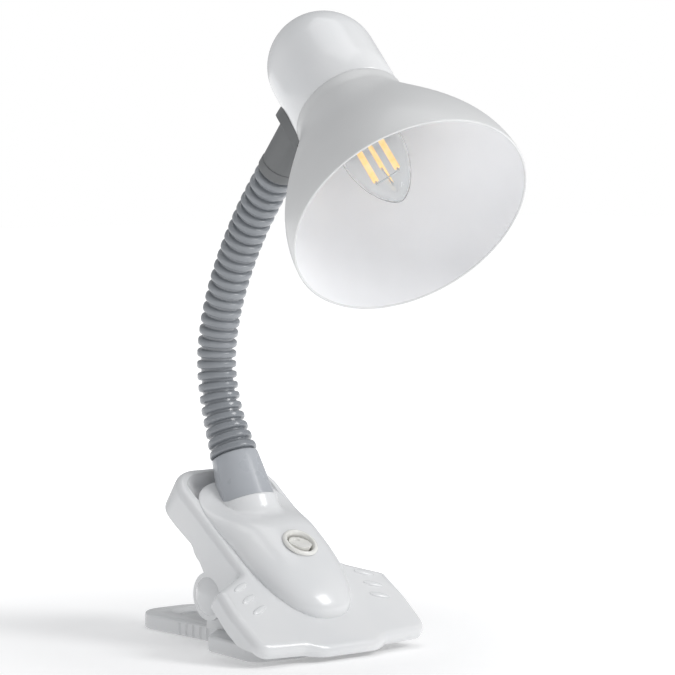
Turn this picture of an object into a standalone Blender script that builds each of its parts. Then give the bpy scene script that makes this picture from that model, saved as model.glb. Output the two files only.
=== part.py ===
"""Clip-on reading lamp: a spring clip, a gooseneck on a switch housing, and a bell shade with a candle bulb.

Metres, +Z up. The jaws point to -Y. The origin is on the lower lever's flat underside, below the hinge pin.
The upper lever, its housing, switch, neck socket and rocker are modelled in the lever's own frame, which
has its origin on the hinge axis and is tilted by LEVER_TILT. The head is modelled about its lamp axis.
"""

import math

import bmesh
import bpy
from mathutils import Matrix, Vector

MM = 0.001
GAP = 0.3 * MM

# Clip levers
HINGE_Z = 27.9 * MM
LEVER_TILT = math.radians(35.6)
LEVER_TOP = 32.3 * MM
LEVER_HALF_WIDTH = 35.0 * MM
LEVER_WALL = 2.5 * MM
JAW_HALF_WIDTH = 60.5 * MM
EAR_RADIUS = 13.5 * MM
BOSS_RADIUS = 11.0 * MM
BOSS_HEIGHT = 4.5 * MM
PIN_RADIUS = 2.5 * MM
LOWER_THICKNESS = 9.0 * MM
LOWER_HANDLE_HALF = 25.5 * MM
LOWER_JAW_HALF = 50.5 * MM
LUG_X = 26.0 * MM
LUG_THICKNESS = 4.0 * MM

RIB_THICKNESS = 3.0 * MM
RIB_FOOT = ((-0.0580, 0.0143), (-0.0350, 0.0143), (-0.0350, 0.0360), (-0.0580, 0.0200))
GRIP_GROOVES = 5
GRIP_PITCH = 6.5 * MM
GRIP_WIDTH = 1.4 * MM
PAD_TOP = 14.0 * MM
PAD_THICKNESS = 1.8 * MM
SPRING_RADIUS = 6.5 * MM
SPRING_WIRE = 1.0 * MM
SPRING_TURNS = 5
SPRING_HALF = 7.0 * MM
DISH_V = 50.0 * MM
DISH_W = 38.0 * MM
DISH_HALF_WIDTH = 31.5 * MM
DISH_HALF_LENGTH = 17.5 * MM
DISH_DEPTH = 15.0 * MM
DISH_POWER = 3.0
JAW_RIBS_X = (-33.0 * MM, -11.0 * MM, 11.0 * MM, 33.0 * MM)
GLAND_W = 18.5 * MM

# Switch housing on the upper lever; its section is a superellipse that stands on the lever's top
POD_HALF_WIDTH = 29.8 * MM
POD_REAR_GROWTH = 1.5 * MM
POD_FRONT_LENGTH = 59.0 * MM
POD_REAR_LENGTH = 56.0 * MM
POD_WIDEST_V = 28.0 * MM
POD_HEIGHT = 15.2 * MM
POD_REAR_HEIGHT = 2.7 * MM
POD_FALL_END_V = 42.0 * MM
POD_REAR_EDGE = 12.0 * MM
POD_CENTRE_V = 1.0 * MM
POD_FRONT_POWER = 2.4
POD_SECTION_POWER = 2.1
POD_WALL = 2.2 * MM
LEAST_HEIGHT = 0.4 * MM
HOUSING_SCREWS_V = (-40.0 * MM, 6.0 * MM)
SCREW_BOSS_RADIUS = 3.6 * MM
SWITCH_V = -13.0 * MM
SWITCH_RADIUS = 10.5 * MM
SWITCH_WELL_RADIUS = 7.6 * MM
ROCKER_RADIUS = 6.5 * MM
ROCKER_PIVOT_DEPTH = 2.5 * MM
ROCKER_SIDE = ((-0.0059, -0.0015), (0.0060, -0.0015), (0.0062, 0.0021), (0.0018, 0.0031), (0.0, 0.0033),
               (-0.0030, 0.0049), (-0.0060, 0.0055))

# Gooseneck
SOCKET_TOP = Vector((0.0, 20.9, 102.2)) * MM
SOCKET_LEAN = math.radians(25.0)
SOCKET_LENGTH = 42.0 * MM
SOCKET_SHOULDER = 27.5 * MM
SOCKET_TOP_RADIUS = 13.3 * MM
SOCKET_FLARE = 0.1
SOCKET_PLUG_RADIUS = 14.3 * MM
SOCKET_BORE_RADIUS = 7.0 * MM
COLLAR_OUTER_RADIUS = 17.0 * MM
COLLAR_BLEND = 1.6 * MM
NECK_RADIUS = 11.0 * MM
NECK_FLARE = 3.0 * MM
NECK_FLARE_REACH = 17.0 * MM
RIDGE_HEIGHT = 2.2 * MM
CORE_RADIUS = 5.0 * MM
CORE_BORE = 2.4 * MM
LINK_LENGTH = 19.85 * MM
RIBS_PER_LINK = 3
RIB_HALF_FLAT = 1.15 * MM
END_CONE = 0.19
LINK_LEANS = (27.2, 18.0, 5.1, -10.5, -20, -27, -32, -37, -41)

# Head
HEAD_TILT = math.radians(40.2)
HEAD_YAW = math.radians(-10.2)
HEAD_BASE = Vector((-4.9, -86.8, 295.4)) * MM
CUP_RADIUS = 30.4 * MM
CUP_LENGTH = 68.4 * MM
CUP_WALL = 1.8 * MM
SHADE_LENGTH = 84.0 * MM
SHADE_RADIUS = 65.5 * MM
COLLAR_RADIUS = 31.0 * MM
COLLAR_LENGTH = 6.5 * MM
SHADE_POWER = 1.2
SHADE_WALL = 1.4 * MM
BULB_RADIUS = 17.5 * MM
BULB_TIP = 71.0 * MM
BRACKET_UP_CUP = 31.0 * MM
BRACKET_FOOT_RADIUS = 10.7 * MM
BRACKET_TOP_RADIUS = 12.2 * MM
SADDLE_LENGTH = 36.0 * MM
SADDLE_UP_CUP = 15.0 * MM
BRACKET_SCREWS = (-10.5 * MM, 10.5 * MM)
FILAMENT_COUNT = 4
FILAMENT_SPREAD = 6.2 * MM
FILAMENT_TOP = -22.0 * MM
FILAMENT_BOTTOM = -52.0 * MM

COLOURS = {
    "white plastic": ((0.86, 0.86, 0.86, 1), 0.35, 0.0),
    "white shade": ((0.88, 0.88, 0.88, 1), 0.45, 0.0),
    "cream plastic": ((0.80, 0.79, 0.70, 1), 0.40, 0.0),
    "grey plastic": ((0.32, 0.34, 0.36, 1), 0.45, 0.0),
    "dark grey plastic": ((0.16, 0.165, 0.17, 1), 0.50, 0.0),
    "black plastic": ((0.03, 0.03, 0.03, 1), 0.50, 0.0),
    "grey rubber": ((0.20, 0.20, 0.20, 1), 0.80, 0.0),
    "steel": ((0.62, 0.62, 0.63, 1), 0.30, 1.0),
    "brass": ((0.72, 0.55, 0.25, 1), 0.30, 1.0),
    "nickel": ((0.72, 0.70, 0.66, 1), 0.25, 1.0),
    "glass": ((0.95, 0.97, 0.98, 1), 0.05, 0.0),
    "filament": ((0.95, 0.62, 0.18, 1), 0.50, 0.0),
}


# Scene, collections and materials

def clear_scene():
    for obj in list(bpy.data.objects):
        bpy.data.objects.remove(obj, do_unlink=True)


def new_collection(name):
    group = bpy.data.collections.new(name)
    bpy.context.scene.collection.children.link(group)
    return group


def material(slot):
    found = bpy.data.materials.get(slot)
    if found:
        return found
    colour, roughness, metallic = COLOURS[slot]
    made = bpy.data.materials.new(slot)
    made.use_nodes = True
    shader = made.node_tree.nodes["Principled BSDF"]
    shader.inputs["Base Color"].default_value = colour
    shader.inputs["Roughness"].default_value = roughness
    shader.inputs["Metallic"].default_value = metallic
    made.diffuse_color = colour
    return made


clear_scene()
PARTS = new_collection("clip_reading_lamp")
GUIDES = new_collection("cutters_and_frames")


def add_object(name, data, slot, parent=None, matrix=None):
    """A named part with a material, or a hidden cutter when slot is None."""
    obj = bpy.data.objects.new(name, data)
    if slot is None:
        GUIDES.objects.link(obj)
        obj.hide_render = True
        obj.display_type = "WIRE"
    else:
        PARTS.objects.link(obj)
        data.materials.append(material(slot))
    if matrix is not None:
        obj.matrix_basis = matrix
    obj.parent = parent
    return obj


def add_frame(name, matrix, parent=None):
    frame = bpy.data.objects.new(name, None)
    GUIDES.objects.link(frame)
    frame.empty_display_size = 0.01
    frame.matrix_basis = matrix
    frame.parent = parent
    return frame


def from_bmesh(name, bm, slot, parent=None, matrix=None, smooth=True):
    mesh = bpy.data.meshes.new(name)
    bm.to_mesh(mesh)
    bm.free()
    if smooth:
        mesh.shade_smooth()
        mesh.set_sharp_from_angle(angle=math.radians(35))
    return add_object(name, mesh, slot, parent, matrix)


# Shapes

def axis_matrix(axis, centre):
    """Local Z turned onto the axis named X, Y or Z, at the centre."""
    turn = {"X": Matrix.Rotation(math.pi / 2, 4, "Y"), "Y": Matrix.Rotation(-math.pi / 2, 4, "X")}
    return Matrix.Translation(centre) @ turn.get(axis, Matrix.Identity(4))


def box(name, low, high, slot=None, parent=None):
    low = Vector(low)
    high = Vector(high)
    bm = bmesh.new()
    bmesh.ops.create_cube(bm, size=1.0, matrix=Matrix.LocRotScale((low + high) / 2, None, high - low))
    return from_bmesh(name, bm, slot, parent, smooth=False)


def cylinder(name, radius, depth, axis, centre, slot=None, parent=None, segments=24, tip_radius=None):
    tip = radius if tip_radius is None else tip_radius
    bm = bmesh.new()
    bmesh.ops.create_cone(bm, cap_ends=True, segments=segments, radius1=radius, radius2=tip,
                          depth=depth, matrix=axis_matrix(axis, Vector(centre)))
    return from_bmesh(name, bm, slot, parent)


def ellipsoid(name, radii, centre, slot=None, parent=None, rings=(20, 10)):
    bm = bmesh.new()
    bmesh.ops.create_uvsphere(bm, u_segments=rings[0], v_segments=rings[1], radius=1.0,
                              matrix=Matrix.LocRotScale(Vector(centre), None, Vector(radii)))
    return from_bmesh(name, bm, slot, parent)


def arc(centre, radius, start, end, count):
    """Points (a, b) on an arc, angles in degrees."""
    points = []
    for i in range(count + 1):
        angle = math.radians(start + (end - start) * i / count)
        points.append((centre[0] + radius * math.cos(angle), centre[1] + radius * math.sin(angle)))
    return points


def filleted(corners, count=4):
    """Turns closed corners (x, y, radius) into an outline whose corners are arcs."""
    outline = []
    total = len(corners)
    for i, (x, y, radius) in enumerate(corners):
        here = Vector((x, y))
        before = (Vector(corners[i - 1][:2]) - here).normalized()
        after = (Vector(corners[(i + 1) % total][:2]) - here).normalized()
        if radius <= 0.0:
            outline.append((x, y))
            continue
        half = before.angle(after) / 2
        reach = radius / math.tan(half)
        centre = here + (before + after).normalized() * (radius / math.sin(half))
        start = here + before * reach - centre
        end = here + after * reach - centre
        turn = start.angle_signed(end)
        for k in range(count + 1):
            spoke = start.copy()
            spoke.rotate(Matrix.Rotation(-turn * k / count, 2))
            outline.append(tuple(centre + spoke))
    return outline


def mirrored(half):
    """Closes a right-hand half outline (x >= 0, rear to front) with its left-hand mirror image."""
    left = [(-x, y, radius) for x, y, radius in reversed(half)]
    return half + left


def plate(name, outline, low, high, slot=None, parent=None, matrix=None, rounding=0.0, inset=0.0, facets=2):
    """A closed flat outline extruded from low to high along local Z, with rounded rims."""
    curve = bpy.data.curves.new(name, "CURVE")
    curve.dimensions = "2D"
    curve.fill_mode = "BOTH"
    spline = curve.splines.new("POLY")
    spline.points.add(len(outline) - 1)
    for point, (x, y) in zip(spline.points, outline):
        point.co = (x, y, 0.0, 1.0)
    spline.use_cyclic_u = True
    curve.extrude = (high - low) / 2 - rounding
    curve.bevel_depth = rounding
    curve.bevel_resolution = facets
    curve.offset = -rounding - inset
    lift = Matrix.Translation((0.0, 0.0, (high + low) / 2))
    flat = add_frame_curve(name, curve, lift if matrix is None else matrix @ lift)
    return as_mesh(flat, slot, parent)


def add_frame_curve(name, curve, matrix):
    obj = bpy.data.objects.new(name + "_curve", curve)
    GUIDES.objects.link(obj)
    obj.matrix_basis = matrix
    return obj


def as_mesh(curve_object, slot, parent=None):
    """Replaces a curve object by a welded mesh object of the same shape."""
    bpy.context.view_layer.update()
    graph = bpy.context.evaluated_depsgraph_get()
    mesh = bpy.data.meshes.new_from_object(curve_object.evaluated_get(graph))
    name = curve_object.name.removesuffix("_curve")
    matrix = curve_object.matrix_world.copy()
    bpy.data.objects.remove(curve_object, do_unlink=True)
    bm = bmesh.new()
    bm.from_mesh(mesh)
    bmesh.ops.remove_doubles(bm, verts=bm.verts, dist=0.00001)
    bmesh.ops.recalc_face_normals(bm, faces=bm.faces)
    bpy.data.meshes.remove(mesh)
    return from_bmesh(name, bm, slot, parent, matrix)


def tube(name, points, radius, slot, parent=None, resolution=2):
    """A round wire or pipe along a list of points."""
    curve = bpy.data.curves.new(name, "CURVE")
    curve.dimensions = "3D"
    curve.bevel_depth = radius
    curve.bevel_resolution = resolution
    curve.use_fill_caps = True
    spline = curve.splines.new("POLY")
    spline.points.add(len(points) - 1)
    for point, place in zip(spline.points, points):
        point.co = (*place, 1.0)
    return as_mesh(add_frame_curve(name, curve, Matrix.Identity(4)), slot, parent)


def turned(name, profile, slot, parent=None, matrix=None, steps=24, closed=False):
    """A profile of (radius, height) points turned about local Z. It runs down the outer side."""
    count = len(profile)
    edges = [(i, i + 1) for i in range(count - 1)]
    if closed:
        edges.append((count - 1, 0))
    edges = [(a, b) for a, b in edges if max(profile[a][0], profile[b][0]) > 0.0]
    mesh = bpy.data.meshes.new(name)
    mesh.from_pydata([(radius, 0.0, height) for radius, height in profile], edges, [])
    obj = add_object(name, mesh, slot, parent, matrix)
    screw = obj.modifiers.new("turn", "SCREW")
    screw.axis = "Z"
    screw.steps = steps
    screw.render_steps = steps
    screw.use_merge_vertices = True
    screw.merge_threshold = 0.00001
    screw.use_smooth_shade = True
    return obj


def combine(obj, tools, operation):
    for tool in tools:
        step = obj.modifiers.new(tool.name, "BOOLEAN")
        step.operation = operation
        step.object = tool
        step.solver = "EXACT"


def cut(obj, *tools):
    combine(obj, tools, "DIFFERENCE")


def join(obj, *tools):
    combine(obj, tools, "UNION")


def keep(obj, *tools):
    combine(obj, tools, "INTERSECT")


# Frames: the upper lever turns about the hinge pin

LEVER = add_frame("frame_upper_lever",
                  Matrix.Translation((0.0, 0.0, HINGE_Z)) @ Matrix.Rotation(LEVER_TILT, 4, "X"))
SOCKET_AXIS = Matrix.Translation(SOCKET_TOP) @ Matrix.Rotation(-SOCKET_LEAN, 4, "X")
SIDE_ON = Matrix(((0, 0, 1, 0), (1, 0, 0, 0), (0, 1, 0, 0), (0, 0, 0, 1)))


# Lower lever

def lower_lever():
    half = [
        (LOWER_HANDLE_HALF, 0.0846, 0.018),
        (LOWER_HANDLE_HALF, 0.004, 0.006),
        (0.0450, -0.0130, 0.004),
        (LOWER_JAW_HALF, -0.0600, 0.009),
        (0.0250, -0.0635, 0.030),
    ]
    outline = filleted(mirrored(half))
    lever = plate("lower_lever", outline, 0.0, LOWER_THICKNESS, "white plastic", rounding=1.2 * MM,
                  facets=1)
    hollow = plate("cut_lower_hollow", outline, -1.0 * MM, 6.5 * MM, inset=3.0 * MM)
    keel = box("cut_keel", (-5.0 * MM, -0.08, -0.01), (5.0 * MM, 0.10, 0.02))
    cross_rib = box("cut_cross_rib", (-0.06, -5.0 * MM, -0.01), (0.06, 5.0 * MM, 0.02))
    cut(hollow, keel, cross_rib)
    for side in (-1, 1):
        join(lever, lower_lug(side))
    hole = cylinder("cut_hanging_hole", 6.5 * MM, 0.04, "Z", (0.0, 0.062, 0.005), segments=28)
    hole_wall = cylinder("cut_hole_wall", 9.0 * MM, 0.06, "Z", (0.0, 0.062, 0.005), segments=28)
    cut(hollow, hole_wall)
    bore = cylinder("cut_lug_bore", PIN_RADIUS + GAP, 0.08, "X", (0.0, 0.0, HINGE_Z), segments=32)
    cut(lever, hollow, hole, bore)
    for side in (-1, 1):
        for i in range(GRIP_GROOVES):
            y = 12.0 * MM + i * GRIP_PITCH
            groove = box(f"cut_grip_{side}_{i}", (side * 0.0265 - 0.0016, y, -0.001),
                         (side * 0.0265 + 0.0016, y + GRIP_WIDTH, 0.0072))
            cut(lever, groove)
    return lever


def lower_lug(side):
    inner = side * LUG_X - LUG_THICKNESS / 2
    outline = [(0.011, 0.0080), (0.009, HINGE_Z)]
    outline += arc((0.0, HINGE_Z), 0.009, 15, 165, 10)
    outline += [(-0.009, HINGE_Z), (-0.012, 0.0080)]
    name = "join_lug_right" if side > 0 else "join_lug_left"
    return plate(name, outline, inner, inner + LUG_THICKNESS, matrix=SIDE_ON)


# Upper lever

def lever_outline():
    half = [
        (LEVER_HALF_WIDTH, 0.0710, 0.019),
        (LEVER_HALF_WIDTH, -0.0150, 0.006),
        (0.0592, -0.0270, 0.004),
        (JAW_HALF_WIDTH + 0.0005, -0.0480, 0.020),
        (0.0595, -0.0745, 0.009),
        (0.0265, -0.0762, 0.004),
        (0.0185, -0.0810, 0.010),
    ]
    return filleted(mirrored(half))


def lever_side_view():
    """Outline of the lever seen from the side (v along it, w away from it), ears included."""
    outline = [(0.080, 0.050), (0.080, 0.0135), (0.060, 0.0120), (0.029, 0.0135), (0.024, 0.0115)]
    outline += [(0.0172, 0.0105)]
    outline += arc((0.0, 0.0), EAR_RADIUS, 38, -190, 22)
    outline += [(-0.0165, 0.0120), (-0.0200, 0.0180), (-0.0250, 0.0205), (-0.0580, 0.0205)]
    outline += [(-0.0690, 0.0255), (-0.0740, 0.0250), (-0.0775, 0.0255), (-0.0900, 0.0310), (-0.0900, 0.050)]
    return outline


def dish(name, grow):
    """Thumb rest behind the housing; grow makes the larger solid that holds its floor."""
    bm = bmesh.new()
    bmesh.ops.create_uvsphere(bm, u_segments=24, v_segments=12, radius=1.0)
    for vert in bm.verts:
        x, y, z = vert.co
        ring = max(math.hypot(x, y), 0.0001)
        vert.co = ((DISH_HALF_WIDTH + grow) * ring * signed_power(x / ring, 2 / DISH_POWER),
                   DISH_V + (DISH_HALF_LENGTH + grow) * ring * signed_power(y / ring, 2 / DISH_POWER),
                   DISH_W + (DISH_DEPTH + grow) * z)
    return from_bmesh(name, bm, None, LEVER)


def upper_lever():
    outline = lever_outline()
    lever = plate("upper_lever", outline, -0.030, LEVER_TOP, "white plastic", LEVER, rounding=4.0 * MM)
    side = plate("keep_side_view", lever_side_view(), -0.08, 0.08, matrix=SIDE_ON, parent=LEVER)
    keep(lever, side)
    pocket = plate("cut_lever_pocket", outline, -0.040, LEVER_TOP - LEVER_WALL, parent=LEVER,
                   rounding=2.0 * MM, inset=LEVER_WALL, facets=0)
    for x in JAW_RIBS_X:
        rib = box(f"cut_jaw_rib_{x:+.3f}", (x - RIB_THICKNESS / 2, -0.064, PAD_TOP + GAP),
                  (x + RIB_THICKNESS / 2, -0.030, 0.070))
        cut(pocket, rib)
    cut(pocket, dish("cut_dish_floor", LEVER_WALL))
    cut(lever, pocket, dish("cut_dish", 0.0))
    for side_sign in (-1, 1):
        boss = ellipsoid(f"join_boss_{side_sign}", (BOSS_HEIGHT, BOSS_RADIUS, BOSS_RADIUS),
                         (side_sign * (LEVER_HALF_WIDTH - 0.5 * MM), 0.0, 0.0), parent=LEVER)
        hub = LEVER_HALF_WIDTH - LEVER_WALL
        inside = box(f"cut_boss_inside_{side_sign}", (-hub, -0.02, -0.02), (hub, 0.02, 0.02), parent=LEVER)
        cut(boss, inside)
        join(lever, boss)
    for x in JAW_RIBS_X:
        foot = plate(f"join_rib_foot_{x:+.3f}", RIB_FOOT, x - RIB_THICKNESS / 2, x + RIB_THICKNESS / 2,
                     matrix=SIDE_ON)
        join(lever, foot)
    bore = cylinder("cut_ear_bore", PIN_RADIUS + GAP, 2 * 0.0355, "X", (0.0, 0.0, 0.0), parent=LEVER)
    cut(lever, bore)
    for v in HOUSING_SCREWS_V:
        hole = cylinder(f"cut_screw_hole_{v:+.3f}", 1.9 * MM, 0.01, "Z", (0.0, v, LEVER_TOP), parent=LEVER)
        cut(lever, hole)
    wire_slot = box("cut_wire_slot", (0.0150, 0.0105, 0.028), (0.0210, 0.0135, 0.036), parent=LEVER)
    gland_hole = cylinder("cut_gland_hole", 4.0 * MM, 0.02, "Y", (0.0, 0.072, GLAND_W), parent=LEVER,
                          segments=28)
    cut(lever, wire_slot, gland_hole)
    return lever


def hinge_pin():
    return cylinder("hinge_pin", PIN_RADIUS, 2 * 0.0352, "X", (0.0, 0.0, HINGE_Z), "steel")


def lower_jaw_pad():
    outline = filleted(mirrored([(0.036, -0.036, 0.003), (0.036, -0.057, 0.003)]))
    top = LOWER_THICKNESS + PAD_THICKNESS
    return plate("lower_jaw_pad", outline, LOWER_THICKNESS + GAP, top, "grey rubber")


def upper_jaw_pad():
    outline = filleted(mirrored([(0.036, -0.034, 0.003), (0.036, -0.061, 0.003)]))
    low = LOWER_THICKNESS + PAD_THICKNESS + GAP
    return plate("upper_jaw_pad", outline, low, PAD_TOP, "grey rubber")


def torsion_spring():
    """Coil about the hinge pin, with a leg on the lower lever and a leg under the upper handle."""
    points = [Vector((-SPRING_HALF, 0.036, LOWER_THICKNESS + 1.7 * MM)),
              Vector((-SPRING_HALF, 0.020, LOWER_THICKNESS + 3.0 * MM))]
    steps = SPRING_TURNS * 10
    start = -60
    for i in range(steps + 1):
        angle = math.radians(start - 360 * SPRING_TURNS * i / steps)
        x = -SPRING_HALF + 2 * SPRING_HALF * i / steps
        points.append(Vector((x, SPRING_RADIUS * math.cos(angle), HINGE_Z + SPRING_RADIUS * math.sin(angle))))
    return tube("torsion_spring", points, SPRING_WIRE, "steel")


def spring_upper_leg():
    """The spring's other leg, which moves with the upper lever that it presses on."""
    x = SPRING_HALF + 2 * SPRING_WIRE + GAP
    reach = LEVER_TOP - LEVER_WALL - SPRING_WIRE - GAP
    points = [Vector((x, SPRING_RADIUS * math.cos(math.radians(a)), SPRING_RADIUS * math.sin(math.radians(a))))
              for a in range(-120, 25, 24)]
    points += [Vector((x, 0.0090, 0.0120)), Vector((x, 0.0170, reach - 0.0020)), Vector((x, 0.0240, reach))]
    return tube("spring_upper_leg", points, SPRING_WIRE, "steel", LEVER)


# Switch housing

def signed_power(value, power):
    return math.copysign(abs(value) ** power, value)


def rounding_off(reach, power):
    return (1.0 - min(1.0, max(0.0, reach)) ** power) ** (1.0 / power)


def pod_half_width(v):
    """Half width at v: an oval nose, then a slow growth to POD_WIDEST_V and a blunt rear end."""
    if v < POD_CENTRE_V:
        return POD_HALF_WIDTH * rounding_off((POD_CENTRE_V - v) / POD_FRONT_LENGTH, POD_FRONT_POWER)
    grown = min(1.0, (v - POD_CENTRE_V) / (POD_WIDEST_V - POD_CENTRE_V))
    rear_end = POD_CENTRE_V + POD_REAR_LENGTH
    blunt = rounding_off((v - POD_WIDEST_V) / (rear_end - POD_WIDEST_V), 2.5)
    return (POD_HALF_WIDTH + POD_REAR_GROWTH * math.sin(grown * math.pi / 2)) * blunt


def pod_height(v):
    """Height over the lever at v: an oval nose, and a fall to a low skirt round the neck's socket."""
    if v < POD_CENTRE_V:
        return POD_HEIGHT * rounding_off((POD_CENTRE_V - v) / POD_FRONT_LENGTH, POD_FRONT_POWER)
    share = min(1.0, (v - POD_CENTRE_V) / (POD_FALL_END_V - POD_CENTRE_V))
    height = POD_HEIGHT - (POD_HEIGHT - POD_REAR_HEIGHT) * share ** 2 * (3.0 - 2.0 * share)
    rear_end = POD_CENTRE_V + POD_REAR_LENGTH
    return height * rounding_off((v - rear_end + POD_REAR_EDGE) / POD_REAR_EDGE, 2.2)


def soft_max(first, second, blend):
    near = max(blend - abs(first - second), 0.0) / blend
    return max(first, second) + near * near * blend / 4


def collar_height(x, v):
    """Top of the round collar that the neck's socket stands on, in the lever's frame."""
    top = LEVER.matrix_basis.inverted() @ SOCKET_TOP
    along = (LEVER.matrix_basis.inverted() @ SOCKET_AXIS).to_3x3() @ Vector((0.0, 0.0, 1.0))
    end = top - along * SOCKET_SHOULDER
    if abs(x) >= COLLAR_OUTER_RADIUS:
        return -1.0
    rise = math.sqrt(COLLAR_OUTER_RADIUS ** 2 - x * x)
    side = end.z + (rise + along.z * (v - end.y)) / along.y
    rim = end.z - along.y * (v - end.y) / along.z
    return -soft_max(-side, -rim, COLLAR_BLEND)


def pod_body(name, wall, slot, rings=(32, 34)):
    """Egg-shaped body with boxy sections, long along v; the outer one carries the collar."""
    bm = bmesh.new()
    bmesh.ops.create_uvsphere(bm, u_segments=rings[0], v_segments=rings[1], radius=1.0)
    for vert in bm.verts:
        x, y, z = vert.co
        along = math.copysign(1.0 - (1.0 - abs(z)) ** 1.15, z)
        length = POD_FRONT_LENGTH if along < 0.0 else POD_REAR_LENGTH
        v = POD_CENTRE_V + (length - wall) * along
        station = POD_CENTRE_V + length * along
        ring = math.hypot(x, y)
        if ring < 0.0001:
            vert.co = (0.0, v, LEVER_TOP)
            continue
        across = signed_power(x / ring, 2 / POD_SECTION_POWER)
        up = signed_power(y / ring, 2 / POD_SECTION_POWER)
        shrink = 1.0 - wall / POD_HALF_WIDTH
        side = pod_half_width(station) * shrink * across
        top = LEVER_TOP + max(pod_height(station) - wall, LEAST_HEIGHT) * up
        if not wall and y > 0.0:
            top = soft_max(top, collar_height(side, v), COLLAR_BLEND)
        vert.co = (side, v, top)
    bmesh.ops.recalc_face_normals(bm, faces=bm.faces)
    return from_bmesh(name, bm, slot, LEVER)


def switch_seat():
    """Height of the flat that is sunk into the housing for the switch's bezel."""
    return LEVER_TOP + pod_height(SWITCH_V) - 0.6 * MM


def lever_clearance():
    """The lever's top with a thin gap over it, for cutting what stands on the lever."""
    solid = plate("cut_lever_clearance", lever_outline(), -0.030, LEVER_TOP + GAP, parent=LEVER,
                  rounding=4.0 * MM, inset=-GAP)
    cut(solid, dish("cut_dish_clearance", -GAP))
    return solid


def housing_cover(clearance):
    cover = pod_body("housing_cover", 0.0, "white plastic")
    inside = pod_body("cut_housing_inside", POD_WALL, None, rings=(20, 20))
    low = LEVER_TOP + GAP
    for v in HOUSING_SCREWS_V:
        boss = cylinder(f"cut_boss_{v:+.3f}", SCREW_BOSS_RADIUS, 0.03, "Z", (0.0, v, low), parent=LEVER)
        cut(inside, boss)
    guard = cylinder("cut_socket_guard", COLLAR_OUTER_RADIUS, 27.0 * MM, "Z", (0.0, 0.0, -33.5 * MM),
                     segments=32)
    guard.matrix_basis = SOCKET_AXIS
    cut(inside, guard)
    opening = cylinder("cut_switch_opening", SWITCH_RADIUS - 1.2 * MM, 0.03, "Z",
                       (0.0, SWITCH_V, 0.050), parent=LEVER, segments=32)
    flat = cylinder("cut_switch_flat", SWITCH_RADIUS + GAP, 0.01, "Z", (0.0, SWITCH_V, switch_seat() + 0.005),
                    parent=LEVER, segments=36)
    wire_way = cylinder("cut_socket_wire_way", SOCKET_BORE_RADIUS, 20.0 * MM, "Z", (0.0, 0.0, -50.0 * MM))
    wire_way.matrix_basis = SOCKET_AXIS
    cut(cover, inside, clearance, socket_body("cut_socket_space", GAP, None), wire_way, opening, flat)
    for v in HOUSING_SCREWS_V:
        bore = cylinder(f"cut_boss_bore_{v:+.3f}", 1.5 * MM, 0.012, "Z", (0.0, v, 0.0345), parent=LEVER,
                        segments=20)
        cut(cover, bore)
    return cover


def cord_gland():
    """Rubber bush in the handle's rear wall, where a mains cord would enter."""
    profile = [(3.6, 5.2), (5.4, 4.9), (5.4, 3.1), (3.7, 3.1), (3.7, -2.4), (2.4, -2.4), (2.4, 5.2)]
    points = [(radius * MM, height * MM) for radius, height in profile]
    matrix = Matrix.Translation((0.0, 0.0710 - 2.8 * MM, GLAND_W)) @ Matrix.Rotation(-math.pi / 2, 4, "X")
    return turned("cord_gland", points, "black plastic", LEVER, matrix, steps=18, closed=True)


def screw(name, head_radius, shank_length, place, parent):
    """Pan-head screw; its head's seat is at the place, its head towards -Z and its shank towards +Z."""
    profile = [(0.0, shank_length / MM), (1.2, shank_length / MM), (1.2, 0.0), (head_radius / MM, 0.0),
               (head_radius / MM, -1.0), (head_radius / MM - 0.7, -1.7), (0.0, -1.9)]
    matrix = Matrix.Translation(place)
    return turned(name, scaled(profile), "steel", parent, matrix, steps=14)


def housing_screws():
    """Screws from under the lever into the housing's bosses."""
    seat = LEVER_TOP - LEVER_WALL - GAP
    for i, v in enumerate(HOUSING_SCREWS_V):
        screw(f"housing_screw_{i + 1}", 2.9 * MM, 8.0 * MM, (0.0, v, seat), LEVER)


def switch_parts():
    """Round-bezel rocker switch: a housing with its bezel, the rocker, and two terminals."""
    top = switch_seat()
    seat = top + GAP
    frame = add_frame("frame_rocker", Matrix.Translation((0.0, SWITCH_V, top - ROCKER_PIVOT_DEPTH)), LEVER)
    body = cylinder("switch_body", SWITCH_RADIUS - 1.6 * MM, 10.0 * MM, "Z",
                    (0.0, SWITCH_V, seat - 4.5 * MM), "cream plastic", LEVER, segments=32)
    bezel = cylinder("join_bezel", SWITCH_RADIUS, 1.5 * MM, "Z", (0.0, SWITCH_V, seat + 0.75 * MM),
                     parent=LEVER, segments=32, tip_radius=SWITCH_RADIUS - 0.8 * MM)
    join(body, bezel)
    well = cylinder("cut_switch_well", SWITCH_WELL_RADIUS, 9.0 * MM, "Z", (0.0, SWITCH_V, seat - 2.6 * MM),
                    parent=LEVER, segments=32)
    cut(body, well)
    rocker = cylinder("switch_rocker", ROCKER_RADIUS, 11.0 * MM, "Z", (0.0, 0.0, 0.0), "cream plastic", frame,
                      segments=28)
    shape = plate("keep_rocker_side", ROCKER_SIDE, -0.0070, 0.0070, parent=frame, matrix=SIDE_ON)
    keep(rocker, shape)
    pivot = cylinder("join_rocker_pivot", 0.9 * MM, 16.2 * MM, "X", (0.0, 0.0, 0.0), parent=frame, segments=16)
    join(rocker, pivot)
    pivot_bore = cylinder("cut_rocker_pivot", 1.2 * MM, 16.8 * MM, "X", (0.0, 0.0, 0.0), parent=frame,
                          segments=16)
    cut(body, pivot_bore)
    terminals = []
    for index, v in enumerate((-0.0045, 0.0045)):
        low = (-0.0024, SWITCH_V + v - 0.0004, seat - 0.0140)
        high = (0.0024, SWITCH_V + v + 0.0004, seat - 0.0098)
        terminals.append(box(f"switch_terminal_{index + 1}", low, high, "brass", LEVER))
    return body, rocker, terminals


# Neck

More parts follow.
